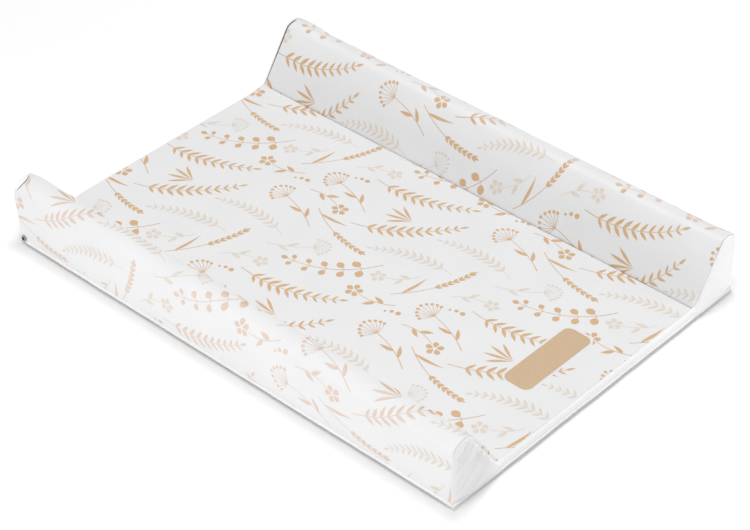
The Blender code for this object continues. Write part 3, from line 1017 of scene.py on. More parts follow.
def new_piece(name, points, faces):
    """A named piece in the scene, from its points and faces."""
    mesh = bpy.data.meshes.new(name)
    mesh.from_pydata(points, [], faces)
    piece = bpy.data.objects.new(name, mesh)
    bpy.context.scene.collection.objects.link(piece)
    return piece


def select_only(piece):
    """Makes one piece the selected and active one."""
    bpy.ops.object.select_all(action="DESELECT")
    piece.select_set(True)
    bpy.context.view_layer.objects.active = piece


def thicken(piece, thickness):
    """Gives a sheet its thickness behind its outer face, and applies it."""
    select_only(piece)
    wall = piece.modifiers.new("foil", "SOLIDIFY")
    wall.thickness = thickness
    wall.offset = -1.0
    wall.use_even_offset = True
    bpy.ops.object.modifier_apply(modifier=wall.name)


def dress(piece, material, smooth_angle=40):
    """Gives a piece its finish and slot, shades it smooth and lets it ride on the mat."""
    select_only(piece)
    piece.data.materials.clear()
    piece.data.materials.append(material)
    bpy.ops.object.shade_smooth_by_angle(angle=math.radians(smooth_angle))
    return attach(piece, ROOT)


def add_node(tree, kind, inputs=None, **settings):
    """Adds one shader node, sets its options, and fills or links its inputs."""
    made = tree.nodes.new(kind)
    for name, value in settings.items():
        setattr(made, name, value)
    for name, value in (inputs or {}).items():
        if isinstance(value, bpy.types.NodeSocket):
            tree.links.new(value, made.inputs[name])
        else:
            made.inputs[name].default_value = value
    return made


def blank_material(name):
    """A material with one Principled shader; gives the material, its tree and the shader."""
    made = bpy.data.materials.new(name)
    made.use_nodes = True
    made.node_tree.nodes.clear()
    shader = add_node(made.node_tree, "ShaderNodeBsdfPrincipled")
    add_node(made.node_tree, "ShaderNodeOutputMaterial", {"Surface": shader.outputs["BSDF"]})
    return made, made.node_tree, shader


def flange_highlight_mask(tree, top):
    """One on the welded flange, below a height, where its painted highlight goes, and nothing over it."""
    place = add_node(tree, "ShaderNodeTexCoord").outputs["Object"]
    height = add_node(tree, "ShaderNodeSeparateXYZ", {0: place}).outputs["Z"]
    return ranged(tree, height, (top, top + FLANGE_HIGHLIGHT_BLEND), (1.0, 0.0))


def ranged(tree, value, source, target):
    """A value mapped from a source range to a target range."""
    levels = dict(zip(("Value", 1, 2, 3, 4), (value, *source, *target)))
    return add_node(tree, "ShaderNodeMapRange", levels).outputs["Result"]


def noise(tree, place, size, **options):
    """Noise of about one size."""
    return add_node(tree, "ShaderNodeTexNoise", {"Vector": place, "Scale": 1 / size, **options}).outputs["Fac"]


def tint(tree, shader, colour, tone):
    """Colours a shader with a colour times an uneven tone."""
    factors = {"Factor": 1.0, 6: colour, 7: tone}
    mixed = add_node(tree, "ShaderNodeMix", factors, data_type="RGBA", blend_type="MULTIPLY")
    tree.links.new(mixed.outputs[2], shader.inputs["Base Color"])


def roughen(tree, shader, height, strength, depth):
    """Lets a pattern stand out of a face a little."""
    bump = add_node(tree, "ShaderNodeBump", {"Height": height, "Strength": strength, "Distance": depth})
    tree.links.new(bump.outputs["Normal"], shader.inputs["Normal"])


def satin_foil(name, hex_value, flange_highlight_hex, flange_top, uv_map="foil"):
    """Calendered soft PVC: a fine grain breaks up its broad, soft gloss, and its flange is painted whiter, a painted
    highlight that keeps the weld bright in the shade at the foot of the walls.
    """
    made, tree, shader = blank_material(name)
    # The real grain is about 0.3 mm; it is drawn at 2.2 mm, the finest that shows from the camera
    if uv_map:
        place = add_node(tree, "ShaderNodeUVMap", uv_map=uv_map).outputs["UV"]
    else:
        place = add_node(tree, "ShaderNodeTexCoord").outputs["Object"]
    grain = noise(tree, place, FOIL_GRAIN, Detail=3.0, Roughness=0.6)
    cloud = noise(tree, place, FOIL_CLOUD, Detail=2.0)
    tone = add_node(tree, "ShaderNodeMath", {0: grain, 1: 1 - CLOUD_SHARE}, operation="MULTIPLY")
    parts = {0: cloud, 1: CLOUD_SHARE, 2: tone.outputs["Value"]}
    tone = add_node(tree, "ShaderNodeMath", parts, operation="MULTIPLY_ADD").outputs["Value"]
    # Painted highlight: below the skirt's top the flange takes its whiter colour
    tones = {"Factor": flange_highlight_mask(tree, flange_top), 6: linear(hex_value), 7: linear(flange_highlight_hex)}
    ground = add_node(tree, "ShaderNodeMix", tones, data_type="RGBA").outputs[2]
    tint(tree, shader, ground, ranged(tree, tone, NOISE_RANGE, FOIL_TONES))
    tree.links.new(ranged(tree, grain, NOISE_RANGE, FOIL_GLOSS), shader.inputs["Roughness"])
    roughen(tree, shader, grain, FOIL_BUMP, FOIL_BUMP_DEPTH)
    shader.inputs["IOR"].default_value = FOIL_IOR
    return made


def printing_ink(name, hex_value, wall_highlight_hex, wall_place):
    """Gravure ink: nearly as satin as the foil, uneven, and painted paler past the crests, a painted highlight for
    the strong light on the outer walls.
    """
    made, tree, shader = blank_material(name)
    place = add_node(tree, "ShaderNodeTexCoord").outputs["Object"]
    across = add_node(tree, "ShaderNodeSeparateXYZ", {0: place}).outputs["Y"]
    across = add_node(tree, "ShaderNodeMath", {0: across}, operation="ABSOLUTE").outputs["Value"]
    # Painted highlight: past the crests the ink turns to the paler wall tone
    washed = ranged(tree, across, (wall_place - HIGHLIGHT_BLEND, wall_place + HIGHLIGHT_BLEND), (0.0, 1.0))
    tones = {"Factor": washed, 6: linear(hex_value), 7: linear(wall_highlight_hex)}
    ink = add_node(tree, "ShaderNodeMix", tones, data_type="RGBA").outputs[2]
    grain = noise(tree, place, INK_GRAIN, Detail=3.0, Roughness=0.65)
    tint(tree, shader, ink, ranged(tree, grain, NOISE_RANGE, INK_TONES))
    tree.links.new(ranged(tree, grain, NOISE_RANGE, INK_GLOSS), shader.inputs["Roughness"])
    shader.inputs["IOR"].default_value = INK_IOR
    return made


def open_cell_foam(name, hex_value):
    """Polyurethane foam cut from a block: matt, cream and pitted by its open cells."""
    made, tree, shader = blank_material(name)
    place = add_node(tree, "ShaderNodeTexCoord").outputs["Object"]
    cells = add_node(tree, "ShaderNodeTexVoronoi", {"Vector": place, "Scale": 1 / FOAM_CELL}).outputs["Distance"]
    tint(tree, shader, linear(hex_value), ranged(tree, cells, FOAM_RANGE, FOAM_TONES))
    roughen(tree, shader, cells, FOAM_BUMP, FOAM_BUMP_DEPTH)
    shader.inputs["Roughness"].default_value = FOAM_ROUGHNESS
    return made


def pressed_hardboard(name, hex_value):
    """Wood fibre pressed wet and hot: brown, with short matted fibres and a hard, dull face."""
    made, tree, shader = blank_material(name)
    place = add_node(tree, "ShaderNodeTexCoord").outputs["Object"]
    fibres = noise(tree, place, BOARD_FIBRE, Detail=6.0, Distortion=1.5)
    tint(tree, shader, linear(hex_value), ranged(tree, fibres, NOISE_RANGE, BOARD_TONES))
    shader.inputs["Roughness"].default_value = BOARD_ROUGHNESS
    return made


def painted_shade_bore(name, hex_value):
    """Painted shade for the inside of the vent: a near-black finish where the hollow bore lies in shadow, mottled a
    little.
    """
    made, tree, shader = blank_material(name)
    place = add_node(tree, "ShaderNodeTexCoord").outputs["Object"]
    mottle = noise(tree, place, BORE_MOTTLE, Detail=3.0)
    tint(tree, shader, linear(hex_value), ranged(tree, mottle, (0.0, 1.0), BORE_TONES))
    shader.inputs["Roughness"].default_value = DULL_ROUGHNESS
    return made


def mark(parts, chosen):
    """Selects the chosen ones of a mesh's points, edges or faces."""
    parts.foreach_set("select", np.array(chosen, dtype=bool))


def vent_eyelet(name):
    """A short moulded tube that stands out of the wall, with a rounded edge and a bore."""
    x, y, z = VENT_PLACE
    front = y - VENT_STAND
    bpy.ops.object.select_all(action="DESELECT")
    bpy.ops.mesh.primitive_cylinder_add(
        vertices=VENT_SIDES,
        radius=VENT_RADIUS,
        depth=VENT_DEPTH,
        location=(x, front + VENT_DEPTH / 2, z),
        rotation=(math.pi / 2, 0.0, 0.0),
    )
    piece = bpy.context.active_object
    piece.name = name
    bpy.ops.object.transform_apply(location=True, rotation=True, scale=True)
    mesh = piece.data
    at_front = [abs(point.co.y - front) < MM * MM for point in mesh.vertices]
    mark(mesh.vertices, at_front)
    mark(mesh.edges, [all(at_front[i] for i in edge.vertices) for edge in mesh.edges])
    mark(mesh.polygons, [all(at_front[i] for i in face.vertices) for face in mesh.polygons])
    bpy.ops.object.mode_set(mode="EDIT")
    bpy.ops.mesh.select_mode(type="FACE")
    bpy.ops.mesh.inset(thickness=VENT_EDGE, depth=0.0)
    bpy.ops.transform.translate(value=(0.0, -VENT_EDGE, 0.0))
    bpy.ops.mesh.inset(thickness=VENT_RADIUS - VENT_EDGE - VENT_BORE, depth=0.0)
    bpy.ops.mesh.extrude_region_move(TRANSFORM_OT_translate={"value": (0.0, VENT_STAND, 0.0)})
    bpy.ops.object.mode_set(mode="OBJECT")
    return piece


def paint_bore_shade(piece, material):
    """Gives the faces inside the vent's bore their near-black painted shade."""
    piece.data.materials.append(material)
    for face in piece.data.polygons:
        away = math.hypot(face.center.x - VENT_PLACE[0], face.center.z - VENT_PLACE[2])
        face.material_index = int(away < VENT_BORE and face.center.y > VENT_PLACE[1] - VENT_STAND - VENT_EDGE / 2)


def turned(points, angle, place=(0.0, 0.0), scale=1.0):
    """Points turned about the origin, scaled and moved to a place."""
    c, s = scale * math.cos(angle), scale * math.sin(angle)
    return [(place[0] + x * c - y * s, place[1] + x * s + y * c) for x, y in points]


def leaf(length, width, belly_share=0.42, bend=0.0, point=1.1):
    """Outline of a leaf from its stalk, widest at a share of its length: pointed, or round if point is 0.6."""
    power = math.log(0.5) / math.log(belly_share)
    upper, lower = [], []
    for i in range(LEAF_STEPS + 1):
        t = (1 - math.cos(math.pi * i / LEAF_STEPS)) / 2
        half = 0.5 * width * abs(math.sin(math.pi * t**power)) ** point
        middle = bend * length * t * t
        upper.append((length * t, middle + half))
        lower.append((length * t, middle - half))
    return lower + upper[-2:0:-1]


def seed(radius):
    """Outline of a round seed."""
    turns = [2 * math.pi * i / SEED_STEPS for i in range(SEED_STEPS)]
    return [(radius * math.cos(turn), radius * math.sin(turn)) for turn in turns]


def bow(length, bend):
    """Centre line of a stalk that turns steadily: places with their headings."""
    steps = max(2, round(length / STALK_STEP))
    line, x, y = [], 0.0, 0.0
    for i in range(steps + 1):
        heading = bend * (i / steps - 0.5)
        line.append((x, y, heading))
        x += length / steps * math.cos(heading + 0.5 * bend / steps)
        y += length / steps * math.sin(heading + 0.5 * bend / steps)
    return line


def spot_on(line, share):
    """Place and heading at a share of a centre line."""
    reach = share * (len(line) - 1)
    i = min(int(reach), len(line) - 2)
    return tuple(a + (reach - i) * (b - a) for a, b in zip(line[i], line[i + 1]))


def stalk(line, thick, thin):
    """Outline of a stalk that tapers along its centre line."""
    left, right = [], []
    for i, (x, y, heading) in enumerate(line):
        half = 0.5 * (thick + (thin - thick) * i / (len(line) - 1))
        left.append((x - half * math.sin(heading), y + half * math.cos(heading)))
        right.append((x + half * math.sin(heading), y - half * math.cos(heading)))
    return right + left[::-1]


def fern(length=0.138, bend=0.75, pairs=10):
    """A bowed frond with leaflets in opposite pairs that shrink towards its tip."""
    line = bow(length, bend)
    shapes = [stalk(line, 1.1 * MM, 0.6 * MM)]
    for i in range(pairs):
        x, y, heading = spot_on(line, 0.16 + 0.78 * i / (pairs - 1))
        size = 1.0 - 0.62 * abs(i / (pairs - 1) - 0.28)
        for side in (-1, 1):
            blade = leaf(18.0 * MM * size, 5.0 * MM * size, 0.42, side * 0.08)
            shapes.append(turned(blade, heading + side * 0.72, (x, y)))
    x, y, heading = line[-1]
    shapes.append(turned(leaf(12.0 * MM, 3.6 * MM), heading, (x, y)))
    return shapes


def round_leaves(length=0.122, bend=-1.0, pairs=5):
    """A bowed sprig of round leaves in pairs on short stalks."""
    line = bow(length, bend)
    shapes = [stalk(line, 1.1 * MM, 0.7 * MM)]
    for i in range(pairs):
        x, y, heading = spot_on(line, 0.22 + 0.7 * i / (pairs - 1))
        size = 1.0 - 0.1 * i
        for side in (-1, 1):
            turn = heading + side * 1.05
            shapes.append(turned(stalk(bow(5.0 * MM, 0.0), 0.7 * MM, 0.7 * MM), turn, (x, y)))
            tip = (x + 4.2 * MM * math.cos(turn), y + 4.2 * MM * math.sin(turn))
            shapes.append(turned(leaf(13.0 * MM * size, 10.6 * MM * size, 0.52, 0.0, 0.62), turn, tip))
    x, y, heading = line[-1]
    shapes.append(turned(leaf(9.0 * MM, 7.0 * MM, 0.52, 0.0, 0.62), heading, (x, y)))
    return shapes


def seed_head(length=0.070, bend=0.45, rays=9):
    """A bare stalk that opens into a fan of fine rays, each with a seed at its end."""
    line = bow(length, bend)
    shapes = [stalk(line, 1.1 * MM, 0.8 * MM)]
    x, y, heading = line[-1]
    for i in range(rays):
        spread = -1.15 + 2.3 * i / (rays - 1)
        ray = bow(25.0 * MM * (1.0 - 0.22 * abs(spread)), -0.4 * spread)
        shapes.append(turned(stalk(ray, 0.7 * MM, 0.6 * MM), heading + spread, (x, y)))
        tip = turned([ray[-1][:2]], heading + spread, (x, y))[0]
        shapes.append(turned(seed(2.2 * MM), 0.0, tip))
    for side, share in ((-1, 0.28), (1, 0.46)):
        x, y, heading = spot_on(line, share)
        shapes.append(turned(leaf(21.0 * MM, 5.2 * MM, 0.42, -0.12 * side), heading + side * 0.6, (x, y)))
    return shapes


def grain_ear(length=0.104, bend=0.6, pairs=7):
    """A slim stalk with an ear of close-set grains and one long blade."""
    line = bow(length, bend)
    shapes = [stalk(line, 1.0 * MM, 0.7 * MM)]
    for i in range(pairs):
        x, y, heading = spot_on(line, 0.52 + 0.46 * i / (pairs - 1))
        for side in (-1, 1):
            shapes.append(turned(leaf(9.5 * MM, 3.4 * MM, 0.5), heading + side * 0.4, (x, y)))
    x, y, heading = line[-1]
    shapes.append(turned(leaf(11.0 * MM, 3.2 * MM, 0.45), heading, (x, y)))
    x, y, heading = spot_on(line, 0.12)
    shapes.append(turned(leaf(42.0 * MM, 4.4 * MM, 0.38, 0.16), heading + 0.45, (x, y)))
    return shapes


def blossom(length=0.050, bend=-0.8, petals=5):
    """A small five-petalled bloom on a bowed stalk with two leaves."""
    line = bow(length, bend)
    shapes = [stalk(line, 1.0 * MM, 0.8 * MM)]
    x, y, heading = line[-1]
    centre = (x + 9.0 * MM * math.cos(heading), y + 9.0 * MM * math.sin(heading))
    for i in range(petals):
        turn = heading + math.pi + 2 * math.pi * (i + 0.5) / petals
        root = (centre[0] + 1.8 * MM * math.cos(turn), centre[1] + 1.8 * MM * math.sin(turn))
        shapes.append(turned(leaf(9.6 * MM, 7.4 * MM, 0.62, 0.0, 0.7), turn, root))
    for side, share in ((-1, 0.3), (1, 0.5)):
        x, y, heading = spot_on(line, share)
        shapes.append(turned(leaf(17.0 * MM, 5.6 * MM, 0.42, -0.1 * side), heading + side * 0.75, (x, y)))
    return shapes


def blade_tuft(length=0.044, blades=4):
    """A tuft of slender blades that fan out from one root."""
    shapes = []
    for i in range(blades):
        spread = -0.55 + 1.1 * i / (blades - 1)
        reach = length * (1.0 - 0.3 * abs(spread))
        shapes.append(turned(leaf(reach, 4.4 * MM, 0.6, 0.12 * spread), spread))
    return shapes


def seed_spray():
    """Three loose seeds in a bow."""
    return [turned(seed(r * MM), 0.0, (x * MM, y * MM)) for r, x, y in ((3.4, 0, 0), (2.6, 8.5, 2.0), (1.8, 15, 6.5))]


# What the tile holds, in the order that it is laid: tone, motif, count, scale and free space round it in mm
TILE_PLAN = (
    ("full", fern, 2, 1.0, 7.0),
    ("full", round_leaves, 1, 1.0, 7.0),
    ("full", seed_head, 2, 1.0, 6.0),
    ("full", grain_ear, 2, 1.0, 6.0),
    ("pale", fern, 2, 0.8, 6.0),
    ("pale", round_leaves, 1, 0.85, 6.0),
    ("pale", seed_head, 1, 0.85, 6.0),
    ("full", blossom, 2, 1.0, 5.0),
    ("pale", blossom, 2, 0.9, 5.0),
    ("full", blade_tuft, 2, 0.9, 5.0),
    ("full", seed_spray, 2, 1.0, 5.0),
)
LAYOUT_SEED = 21
LAYOUT_TRIES = 900


def tile_cells(points):
    """Cells of the repeating tile under points of the flat foil."""
    across = np.floor(points[:, 0] / TILE_LENGTH)
    u = points[:, 0] - across * TILE_LENGTH
    v = (points[:, 1] - across * TILE_WIDTH / 2) % TILE_WIDTH
    return (u / CELL).astype(int), (v / CELL).astype(int)


def outline_samples(shapes):
    """Points a cell apart along every outline of a motif."""
    samples = []
    for shape in shapes:
        for (x0, y0), (x1, y1) in zip(shape, shape[1:] + shape[:1]):
            steps = max(1, math.ceil(math.hypot(x1 - x0, y1 - y0) / CELL))
            samples += [(x0 + i / steps * (x1 - x0), y0 + i / steps * (y1 - y0)) for i in range(steps)]
    return np.array(samples)


def tile_layout():
    """Places the motifs in one tile, each clear of the others, and gives (tone, shapes) for each."""
    rng = np.random.default_rng(LAYOUT_SEED)
    taken = np.zeros((math.ceil(TILE_LENGTH / CELL) + 1, math.ceil(TILE_WIDTH / CELL) + 1), bool)
    laid = []
    for tone, motif, count, scale, space in TILE_PLAN:
        shapes = motif()
        samples = outline_samples(shapes)
        reach = int(space * MM / CELL) + 1
        ring = [(i, j) for i in range(-reach, reach + 1) for j in range(-reach, reach + 1)]
        ring = [(i, j) for i, j in ring if math.hypot(i, j) * CELL <= space * MM]
        for _ in range(count):
            for _ in range(LAYOUT_TRIES):
                place = (rng.uniform(0, TILE_LENGTH), rng.uniform(0, TILE_WIDTH))
                angle = MAIN_HEADING + HEADING_SPREAD * rng.uniform(-1, 1) + math.pi * rng.integers(2)
                moved = np.array(turned(samples.tolist(), angle, place, scale))
                if not taken[tile_cells(moved)].any():
                    break
            else:
                continue
            for i, j in ring:
                taken[tile_cells(moved + np.array([i, j]) * CELL)] = True
            laid.append((tone, [turned(shape, angle, place, scale) for shape in shapes]))
    return laid


def counterclockwise(shape):
    """The outline with its inside on its left."""
    area = sum(x0 * y1 - x1 * y0 for (x0, y0), (x1, y1) in zip(shape, shape[1:] + shape[:1]))
    return shape if area > 0 else shape[::-1]


def cut_to_grid(shapes, keep_outs, grid_x, grid_w):
    """Triangles that fill a motif outside the outlines that it keeps out of, cut along the cover's grid lines."""
    points, edges, faces = [], [], []
    spread = np.array([point for shape in shapes for point in shape])
    low, high = spread.min(0) - CELL, spread.max(0) + CELL
    for shape in shapes + keep_outs:
        faces.append(list(range(len(points), len(points) + len(shape))))
        points += counterclockwise(shape)
    for x in grid_x[(grid_x > low[0]) & (grid_x < high[0])]:
        edges.append((len(points), len(points) + 1))
        points += [(x, low[1]), (x, high[1])]
    for w in grid_w[(grid_w > low[1]) & (grid_w < high[1])]:
        edges.append((len(points), len(points) + 1))
        points += [(low[0], w), (high[0], w)]
    scaled = [(x / MM, w / MM) for x, w in points]
    found, _, triangles, _, _, owners = delaunay_2d_cdt(scaled, edges, faces, 0, CDT_EPSILON)
    kept = [tuple(t) for t, owner in zip(triangles, owners) if owner and max(owner) < len(shapes)]
    return np.array([(p[0] * MM, p[1] * MM) for p in found]), kept


def on_cover(cover, flat, lift):
    """Points of the flat foil on the formed cover, a little above it."""
    i = np.clip(np.searchsorted(cover.x, flat[:, 0]) - 1, 0, len(cover.x) - 2)
    j = np.clip(np.searchsorted(cover.w, flat[:, 1]) - 1, 0, len(cover.w) - 2)
    a = ((flat[:, 0] - cover.x[i]) / (cover.x[i + 1] - cover.x[i]))[:, None]
    b = ((flat[:, 1] - cover.w[j]) / (cover.w[j + 1] - cover.w[j]))[:, None]
    placed = []
    for grid in (cover.points, cover.normals):
        low = (1 - a) * grid[i, j] + a * grid[i + 1, j]
        high = (1 - a) * grid[i, j + 1] + a * grid[i + 1, j + 1]
        placed.append((1 - b) * low + b * high)
    return placed[0] + lift * placed[1]


def ink_piece(name, cover, motifs, lift, keep_out=None):
    """A film of ink over the cover in the shape of flat motifs, outside an outline that they keep out of."""
    wall_foot = cover.w[np.flatnonzero(cover.zones == "skirt")]
    low = np.array([cover.x[0], wall_foot[wall_foot < 0].max()])
    high = np.array([cover.x[-1], wall_foot[wall_foot > 0].min()])
    places, triangles, start = [], [], 0
    for shapes in motifs:
        spread = np.array([point for shape in shapes for point in shape])
        if (spread.min(0) >= high).any() or (spread.max(0) <= low).any():
            continue
        zone = np.array(keep_out or [high])
        beside = (spread.min(0) < zone.max(0)).all() and (spread.max(0) > zone.min(0)).all()
        flat, kept = cut_to_grid(shapes, [keep_out] if keep_out and beside else [], cover.x, cover.w)
        kept = [t for t in kept if (flat[list(t)].mean(0) > low).all() and (flat[list(t)].mean(0) < high).all()]
        used = sorted({i for t in kept for i in t})
        order = {old: start + new for new, old in enumerate(used)}
        triangles += [tuple(order[i] for i in t) for t in kept]
        places.append(flat[used])
        start += len(used)
    flat = np.concatenate(places)
    return new_piece(name, on_cover(cover, flat, lift).tolist(), triangles)


def tiled(laid, tone):
    """Every copy of the tile's motifs of one tone that can reach the cover."""
    motifs = []
    for column in range(-3, 4):
        for row in range(-5, 6):
            shift = (column * TILE_LENGTH, row * TILE_WIDTH + column * TILE_WIDTH / 2)
            for own_tone, shapes in laid:
                if own_tone == tone:
                    motifs.append([turned(shape, 0.0, shift) for shape in shapes])
    return motifs


def rounded_rectangle(half_length, half_width, corner, centre=(0.0, 0.0)):
    """Outline of a rectangle with round corners, anticlockwise."""
    points = []
    for quarter, (side_x, side_y) in enumerate(((1, 1), (-1, 1), (-1, -1), (1, -1))):
        for step in range(CORNER_STEPS + 1):
            turn = (quarter + step / CORNER_STEPS) * math.pi / 2
            x = side_x * (half_length - corner) + corner * math.cos(turn)
            y = side_y * (half_width - corner) + corner * math.sin(turn)
            points.append((centre[0] + x, centre[1] + y))
    return points


def badge_outline(margin):
    """Outline of the badge, grown by a margin."""
    half_length, half_width = BADGE_HALF_LENGTH + margin, BADGE_HALF_WIDTH + margin
    return rounded_rectangle(half_length, half_width, BADGE_CORNER + margin, BADGE_CENTRE)


class MAT_OT_cover(bpy.types.Operator):
    """Builds the printed foil over both bolsters and the seat"""

    bl_idname = "mat.cover"
    bl_label = "Printed Cover"

    def execute(self, context):
        size = sizes_of(context)
        cover = cover_surface(size)
        flat = np.stack(np.meshgrid(cover.x, cover.w, indexing="ij"), axis=2)
        piece = grid_mesh("cover_foil", cover.points, flat)
        thicken(piece, size.foil)
        colours = context.scene.mat_colours
        dress(piece, satin_foil("satin_printed_foil", colours.foil, colours.flange, size.foot_top))
        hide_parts("printed_cover")
        return {"FINISHED"}


class MAT_OT_end_panels(bpy.types.Operator):
    """Builds the plain foil over the foot end and the head end"""

    bl_idname = "mat.end_panels"
    bl_label = "End Panels"

    def execute(self, context):
        size = sizes_of(context)
        colours = context.scene.mat_colours
        material = satin_foil("satin_white_foil", colours.white_foil, colours.flange, size.foot_top)
        for side, name, node in ((1, "foot_panel_foil", "foot_end_panel"), (-1, "head_panel_foil", "head_end_panel")):
            points, flat = end_panel(size, side)
            piece = grid_mesh(name, points, flat, flip=side > 0)
            join_doubles(piece, bpy.ops.mesh.dissolve_degenerate, threshold=JOIN_DISTANCE)
            thicken(piece, size.foil)
            dress(piece, material)
            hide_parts(node)
        return {"FINISHED"}


class MAT_OT_cores(bpy.types.Operator):
    """Builds the foam inside both bolsters and under the seat"""

    bl_idname = "mat.cores"
    bl_label = "Foam Cores"

    def execute(self, context):
        size = sizes_of(context)
        material = open_cell_foam("open_cell_foam", context.scene.mat_colours.foam)
        cores = (
            (bolster_core(size, "left_bolster_core", -1), "left_bolster_foam"),
            (bolster_core(size, "right_bolster_core", 1), "right_bolster_foam"),
            (seat_core(size, "seat_core"), "seat_foam"),
        )
        for piece, node in cores:
            dress(piece, material)
            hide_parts(node)
        return {"FINISHED"}


class MAT_OT_base(bpy.types.Operator):
    """Builds the foil underneath and the foil round the board, and finishes the board"""

    bl_idname = "mat.base"
    bl_label = "Base"

    def execute(self, context):
        size = sizes_of(context)
        colours = context.scene.mat_colours
        points, flat = underside_grid(size)
        piece = grid_mesh("underside_foil", points, flat, flip=True)
        join_doubles(piece, bpy.ops.mesh.dissolve_degenerate, threshold=JOIN_DISTANCE)
        thicken(piece, size.foil)
        dress(piece, satin_foil("satin_underside_foil", colours.white_foil, colours.flange, size.foot_top))
        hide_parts("bottom_foil")
        wrap = wrapped_tray(size, "board_wrap_foil")
        thicken(wrap, size.foil)
        dress(wrap, satin_foil("satin_wrap_foil", colours.inner_foil, colours.inner_foil, 0.0, None))
        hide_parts("inner_foil")
        turned_edge = 2 * (size.inner_top - size.board_bottom)
        wrap_flat = (2 * size.half_width - 2 * size.core_inset, 2 * size.half_length - 2 * size.core_inset)
        wrap_flat = (wrap_flat[0] + turned_edge, wrap_flat[1] + turned_edge)
        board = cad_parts["base_board"]
        board.data.materials.clear()
        board.data.materials.append(pressed_hardboard("pressed_hardboard", colours.hardboard))
        return {"FINISHED"}


class MAT_OT_print(bpy.types.Operator):
    """Lays the ink of the print on the cover, in two tones"""

    bl_idname = "mat.print_layer"
    bl_label = "Print"

    def execute(self, context):
        colours = context.scene.mat_colours
        size = sizes_of(context)
        cover = cover_surface(size)
        laid = tile_layout()
        wall_place = size.half_width - size.crest_inset
        # The full ink is painted paler past the crests, a painted highlight; the pale ink keeps one tone
        inks = (("pale", colours.pale_ink, colours.pale_ink), ("full", colours.ink, colours.wall_highlight_ink))
        for tone, hex_value, wall_highlight_hex in inks:
            piece = ink_piece(tone + "_print", cover, tiled(laid, tone), INK_LIFT, badge_outline(CLEAR_ZONE))
            dress(piece, printing_ink(tone + "_gravure_ink", hex_value, wall_highlight_hex, wall_place))
        return {"FINISHED"}


class MAT_OT_badge(bpy.types.Operator):
    """Lays the bare badge on the seat at the foot end"""

    bl_idname = "mat.badge"
    bl_label = "Bare Badge"

    def execute(self, context):
        size = sizes_of(context)
        badge = context.scene.mat_colours.badge
        piece = ink_piece("bare_badge", cover_surface(size), [[badge_outline(0.0)]], BADGE_LIFT)
        dress(piece, printing_ink("badge_ink", badge, badge, size.half_width))
        return {"FINISHED"}


class MAT_OT_vent(bpy.types.Operator):
    """Adds the moulded vent at the foot of the left wall"""

    bl_idname = "mat.vent"
    bl_label = "Vent"

    def execute(self, context):
        size = sizes_of(context)
        colours = context.scene.mat_colours
        piece = vent_eyelet("vent_eyelet")
        dress(piece, satin_foil("moulded_vinyl", colours.eyelet, colours.eyelet, 0.0, None))
        # The bore's faces take a near-black painted shade
        paint_bore_shade(piece, painted_shade_bore("vent_bore", colours.vent))
        return {"FINISHED"}


# Camera of the photograph: place, pitch below the horizon, turn from +Y, and focal length
CAMERA_PLACE = (1.50313, -1.64261, 1.73512)
CAMERA_PITCH = 0.66322
CAMERA_TURN = 0.739103
CAMERA_LENS = 111.49

# Floor just under the mat, soft white room and its softboxes: name, place, target, size and power in watts
FLOOR_SIZE = 12.0
FLOOR_DROP = 0.005
WORLD_STRENGTH = 0.60
SOFTBOXES = (
    ("top_softbox", (0.3, -0.6, 2.7), (0.0, 0.0, 0.0), (0.8, 0.8), 17),
    ("back_softbox", (-0.2, 0.4, 2.7), (0.0, 0.0, 0.0), (0.6, 0.6), 18),
    ("low_strip", (0.0, -1.5, 0.13), (0.0, -0.25, 0.04), (1.2, 0.18), 5.0),
    ("floor_wash", (-0.2, 0.6, 1.2), (-0.2, 1.6, 0.9), (2.4, 0.3), 5.5),
    ("foot_fill", (1.2, 0.75, 0.18), (0.35, 0.2, 0.04), (0.5, 0.25), 2.6),
)


def add_area_light(name, place, target, size, power):
    """A soft rectangular light that looks at a target."""
    data = bpy.data.lights.new(name, "AREA")
    data.shape = "RECTANGLE"
    data.size, data.size_y = size
    data.energy = power
    lamp = bpy.data.objects.new(name, data)
    bpy.context.scene.collection.objects.link(lamp)
    lamp.location = place
    aim = np.array(target) - np.array(place)
    lamp.rotation_euler = (
        math.atan2(math.hypot(aim[0], aim[1]), -aim[2]),
        0.0,
        math.atan2(aim[1], aim[0]) - math.pi / 2,
    )
    return lamp


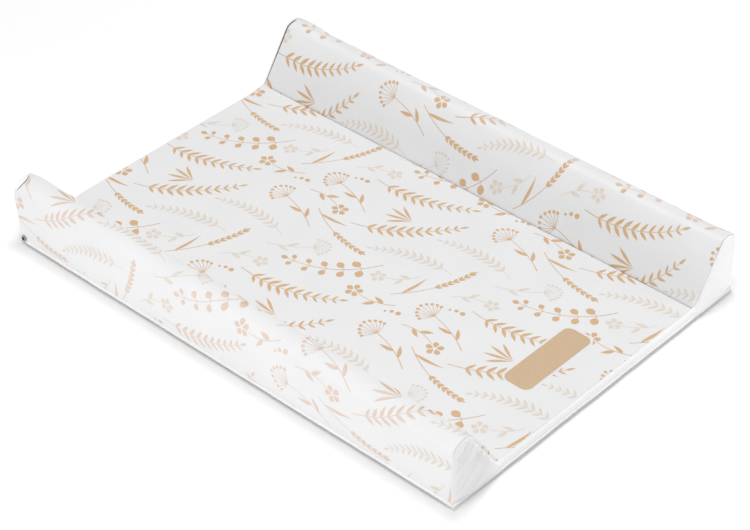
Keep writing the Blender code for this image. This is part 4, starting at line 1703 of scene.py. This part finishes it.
class MAT_OT_stage(bpy.types.Operator):
    """Adds the pale floor, the soft lights and the camera"""

    bl_idname = "mat.stage"
    bl_label = "Studio Stage"

    def execute(self, context):
        bpy.ops.object.select_all(action="DESELECT")
        bpy.ops.mesh.primitive_plane_add(size=FLOOR_SIZE, location=(0.0, 0.0, -FLOOR_DROP))
        floor = context.active_object
        floor.name = "studio_floor"
        made, tree, shader = blank_material("matt_white_floor")
        place = add_node(tree, "ShaderNodeTexCoord").outputs["Object"]
        tone = ranged(tree, noise(tree, place, FLOOR_GRAIN), (0.0, 1.0), FLOOR_TONES)
        tint(tree, shader, linear(context.scene.mat_colours.floor), tone)
        shader.inputs["Roughness"].default_value = DULL_ROUGHNESS
        shader.inputs["Specular IOR Level"].default_value = FLOOR_GLEAM
        floor.data.materials.append(made)
        world = bpy.data.worlds.new("soft_white")
        world.use_nodes = True
        ground = world.node_tree.nodes["Background"]
        ground.inputs["Color"].default_value = (1.0, 1.0, 1.0, 1.0)
        ground.inputs["Strength"].default_value = WORLD_STRENGTH
        context.scene.world = world
        for name, place, target, spread, power in SOFTBOXES:
            add_area_light(name, place, target, spread, power)
        data = bpy.data.cameras.new("photo_view")
        data.lens = CAMERA_LENS
        data.sensor_width = 36.0
        data.clip_start = 0.1
        camera = bpy.data.objects.new("photo_view", data)
        context.scene.collection.objects.link(camera)
        camera.location = CAMERA_PLACE
        camera.rotation_euler = (math.pi / 2 - CAMERA_PITCH, 0.0, CAMERA_TURN)
        context.scene.camera = camera
        context.scene.view_settings.view_transform = "Standard"
        return {"FINISHED"}


class MAT_PT_pieces(bpy.types.Panel):
    """Lists the pieces of the mat and its stage"""

    bl_idname = "MAT_PT_pieces"
    bl_label = "Changing Mat"
    bl_space_type = "VIEW_3D"
    bl_region_type = "UI"
    bl_category = "Changing Mat"

    def draw(self, context):
        for operator in OPERATORS:
            self.layout.operator(operator.bl_idname)
        for group in (context.scene.mat_sizes, context.scene.mat_colours):
            for name in type(group).__annotations__:
                self.layout.prop(group, name)


OPERATORS = (
    MAT_OT_base,
    MAT_OT_cores,
    MAT_OT_cover,
    MAT_OT_end_panels,
    MAT_OT_print,
    MAT_OT_badge,
    MAT_OT_vent,
    MAT_OT_stage,
)
CLASSES = (MatSizes, MatColours) + OPERATORS + (MAT_PT_pieces,)


def register():
    """Adds the mat's classes and its settings to Blender."""
    for made in CLASSES:
        bpy.utils.register_class(made)
    bpy.types.Scene.mat_sizes = PointerProperty(type=MatSizes)
    bpy.types.Scene.mat_colours = PointerProperty(type=MatColours)


def unregister():
    """Takes them out again."""
    del bpy.types.Scene.mat_colours
    del bpy.types.Scene.mat_sizes
    for made in reversed(CLASSES):
        bpy.utils.unregister_class(made)


def main():
    """Builds every piece and the stage."""
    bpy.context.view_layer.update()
    register()
    bpy.ops.mat.base()
    bpy.ops.mat.cores()
    bpy.ops.mat.cover()
    bpy.ops.mat.end_panels()
    bpy.ops.mat.print_layer()
    bpy.ops.mat.badge()
    bpy.ops.mat.vent()
    bpy.ops.mat.stage()


if __name__ == "__main__":
    main()
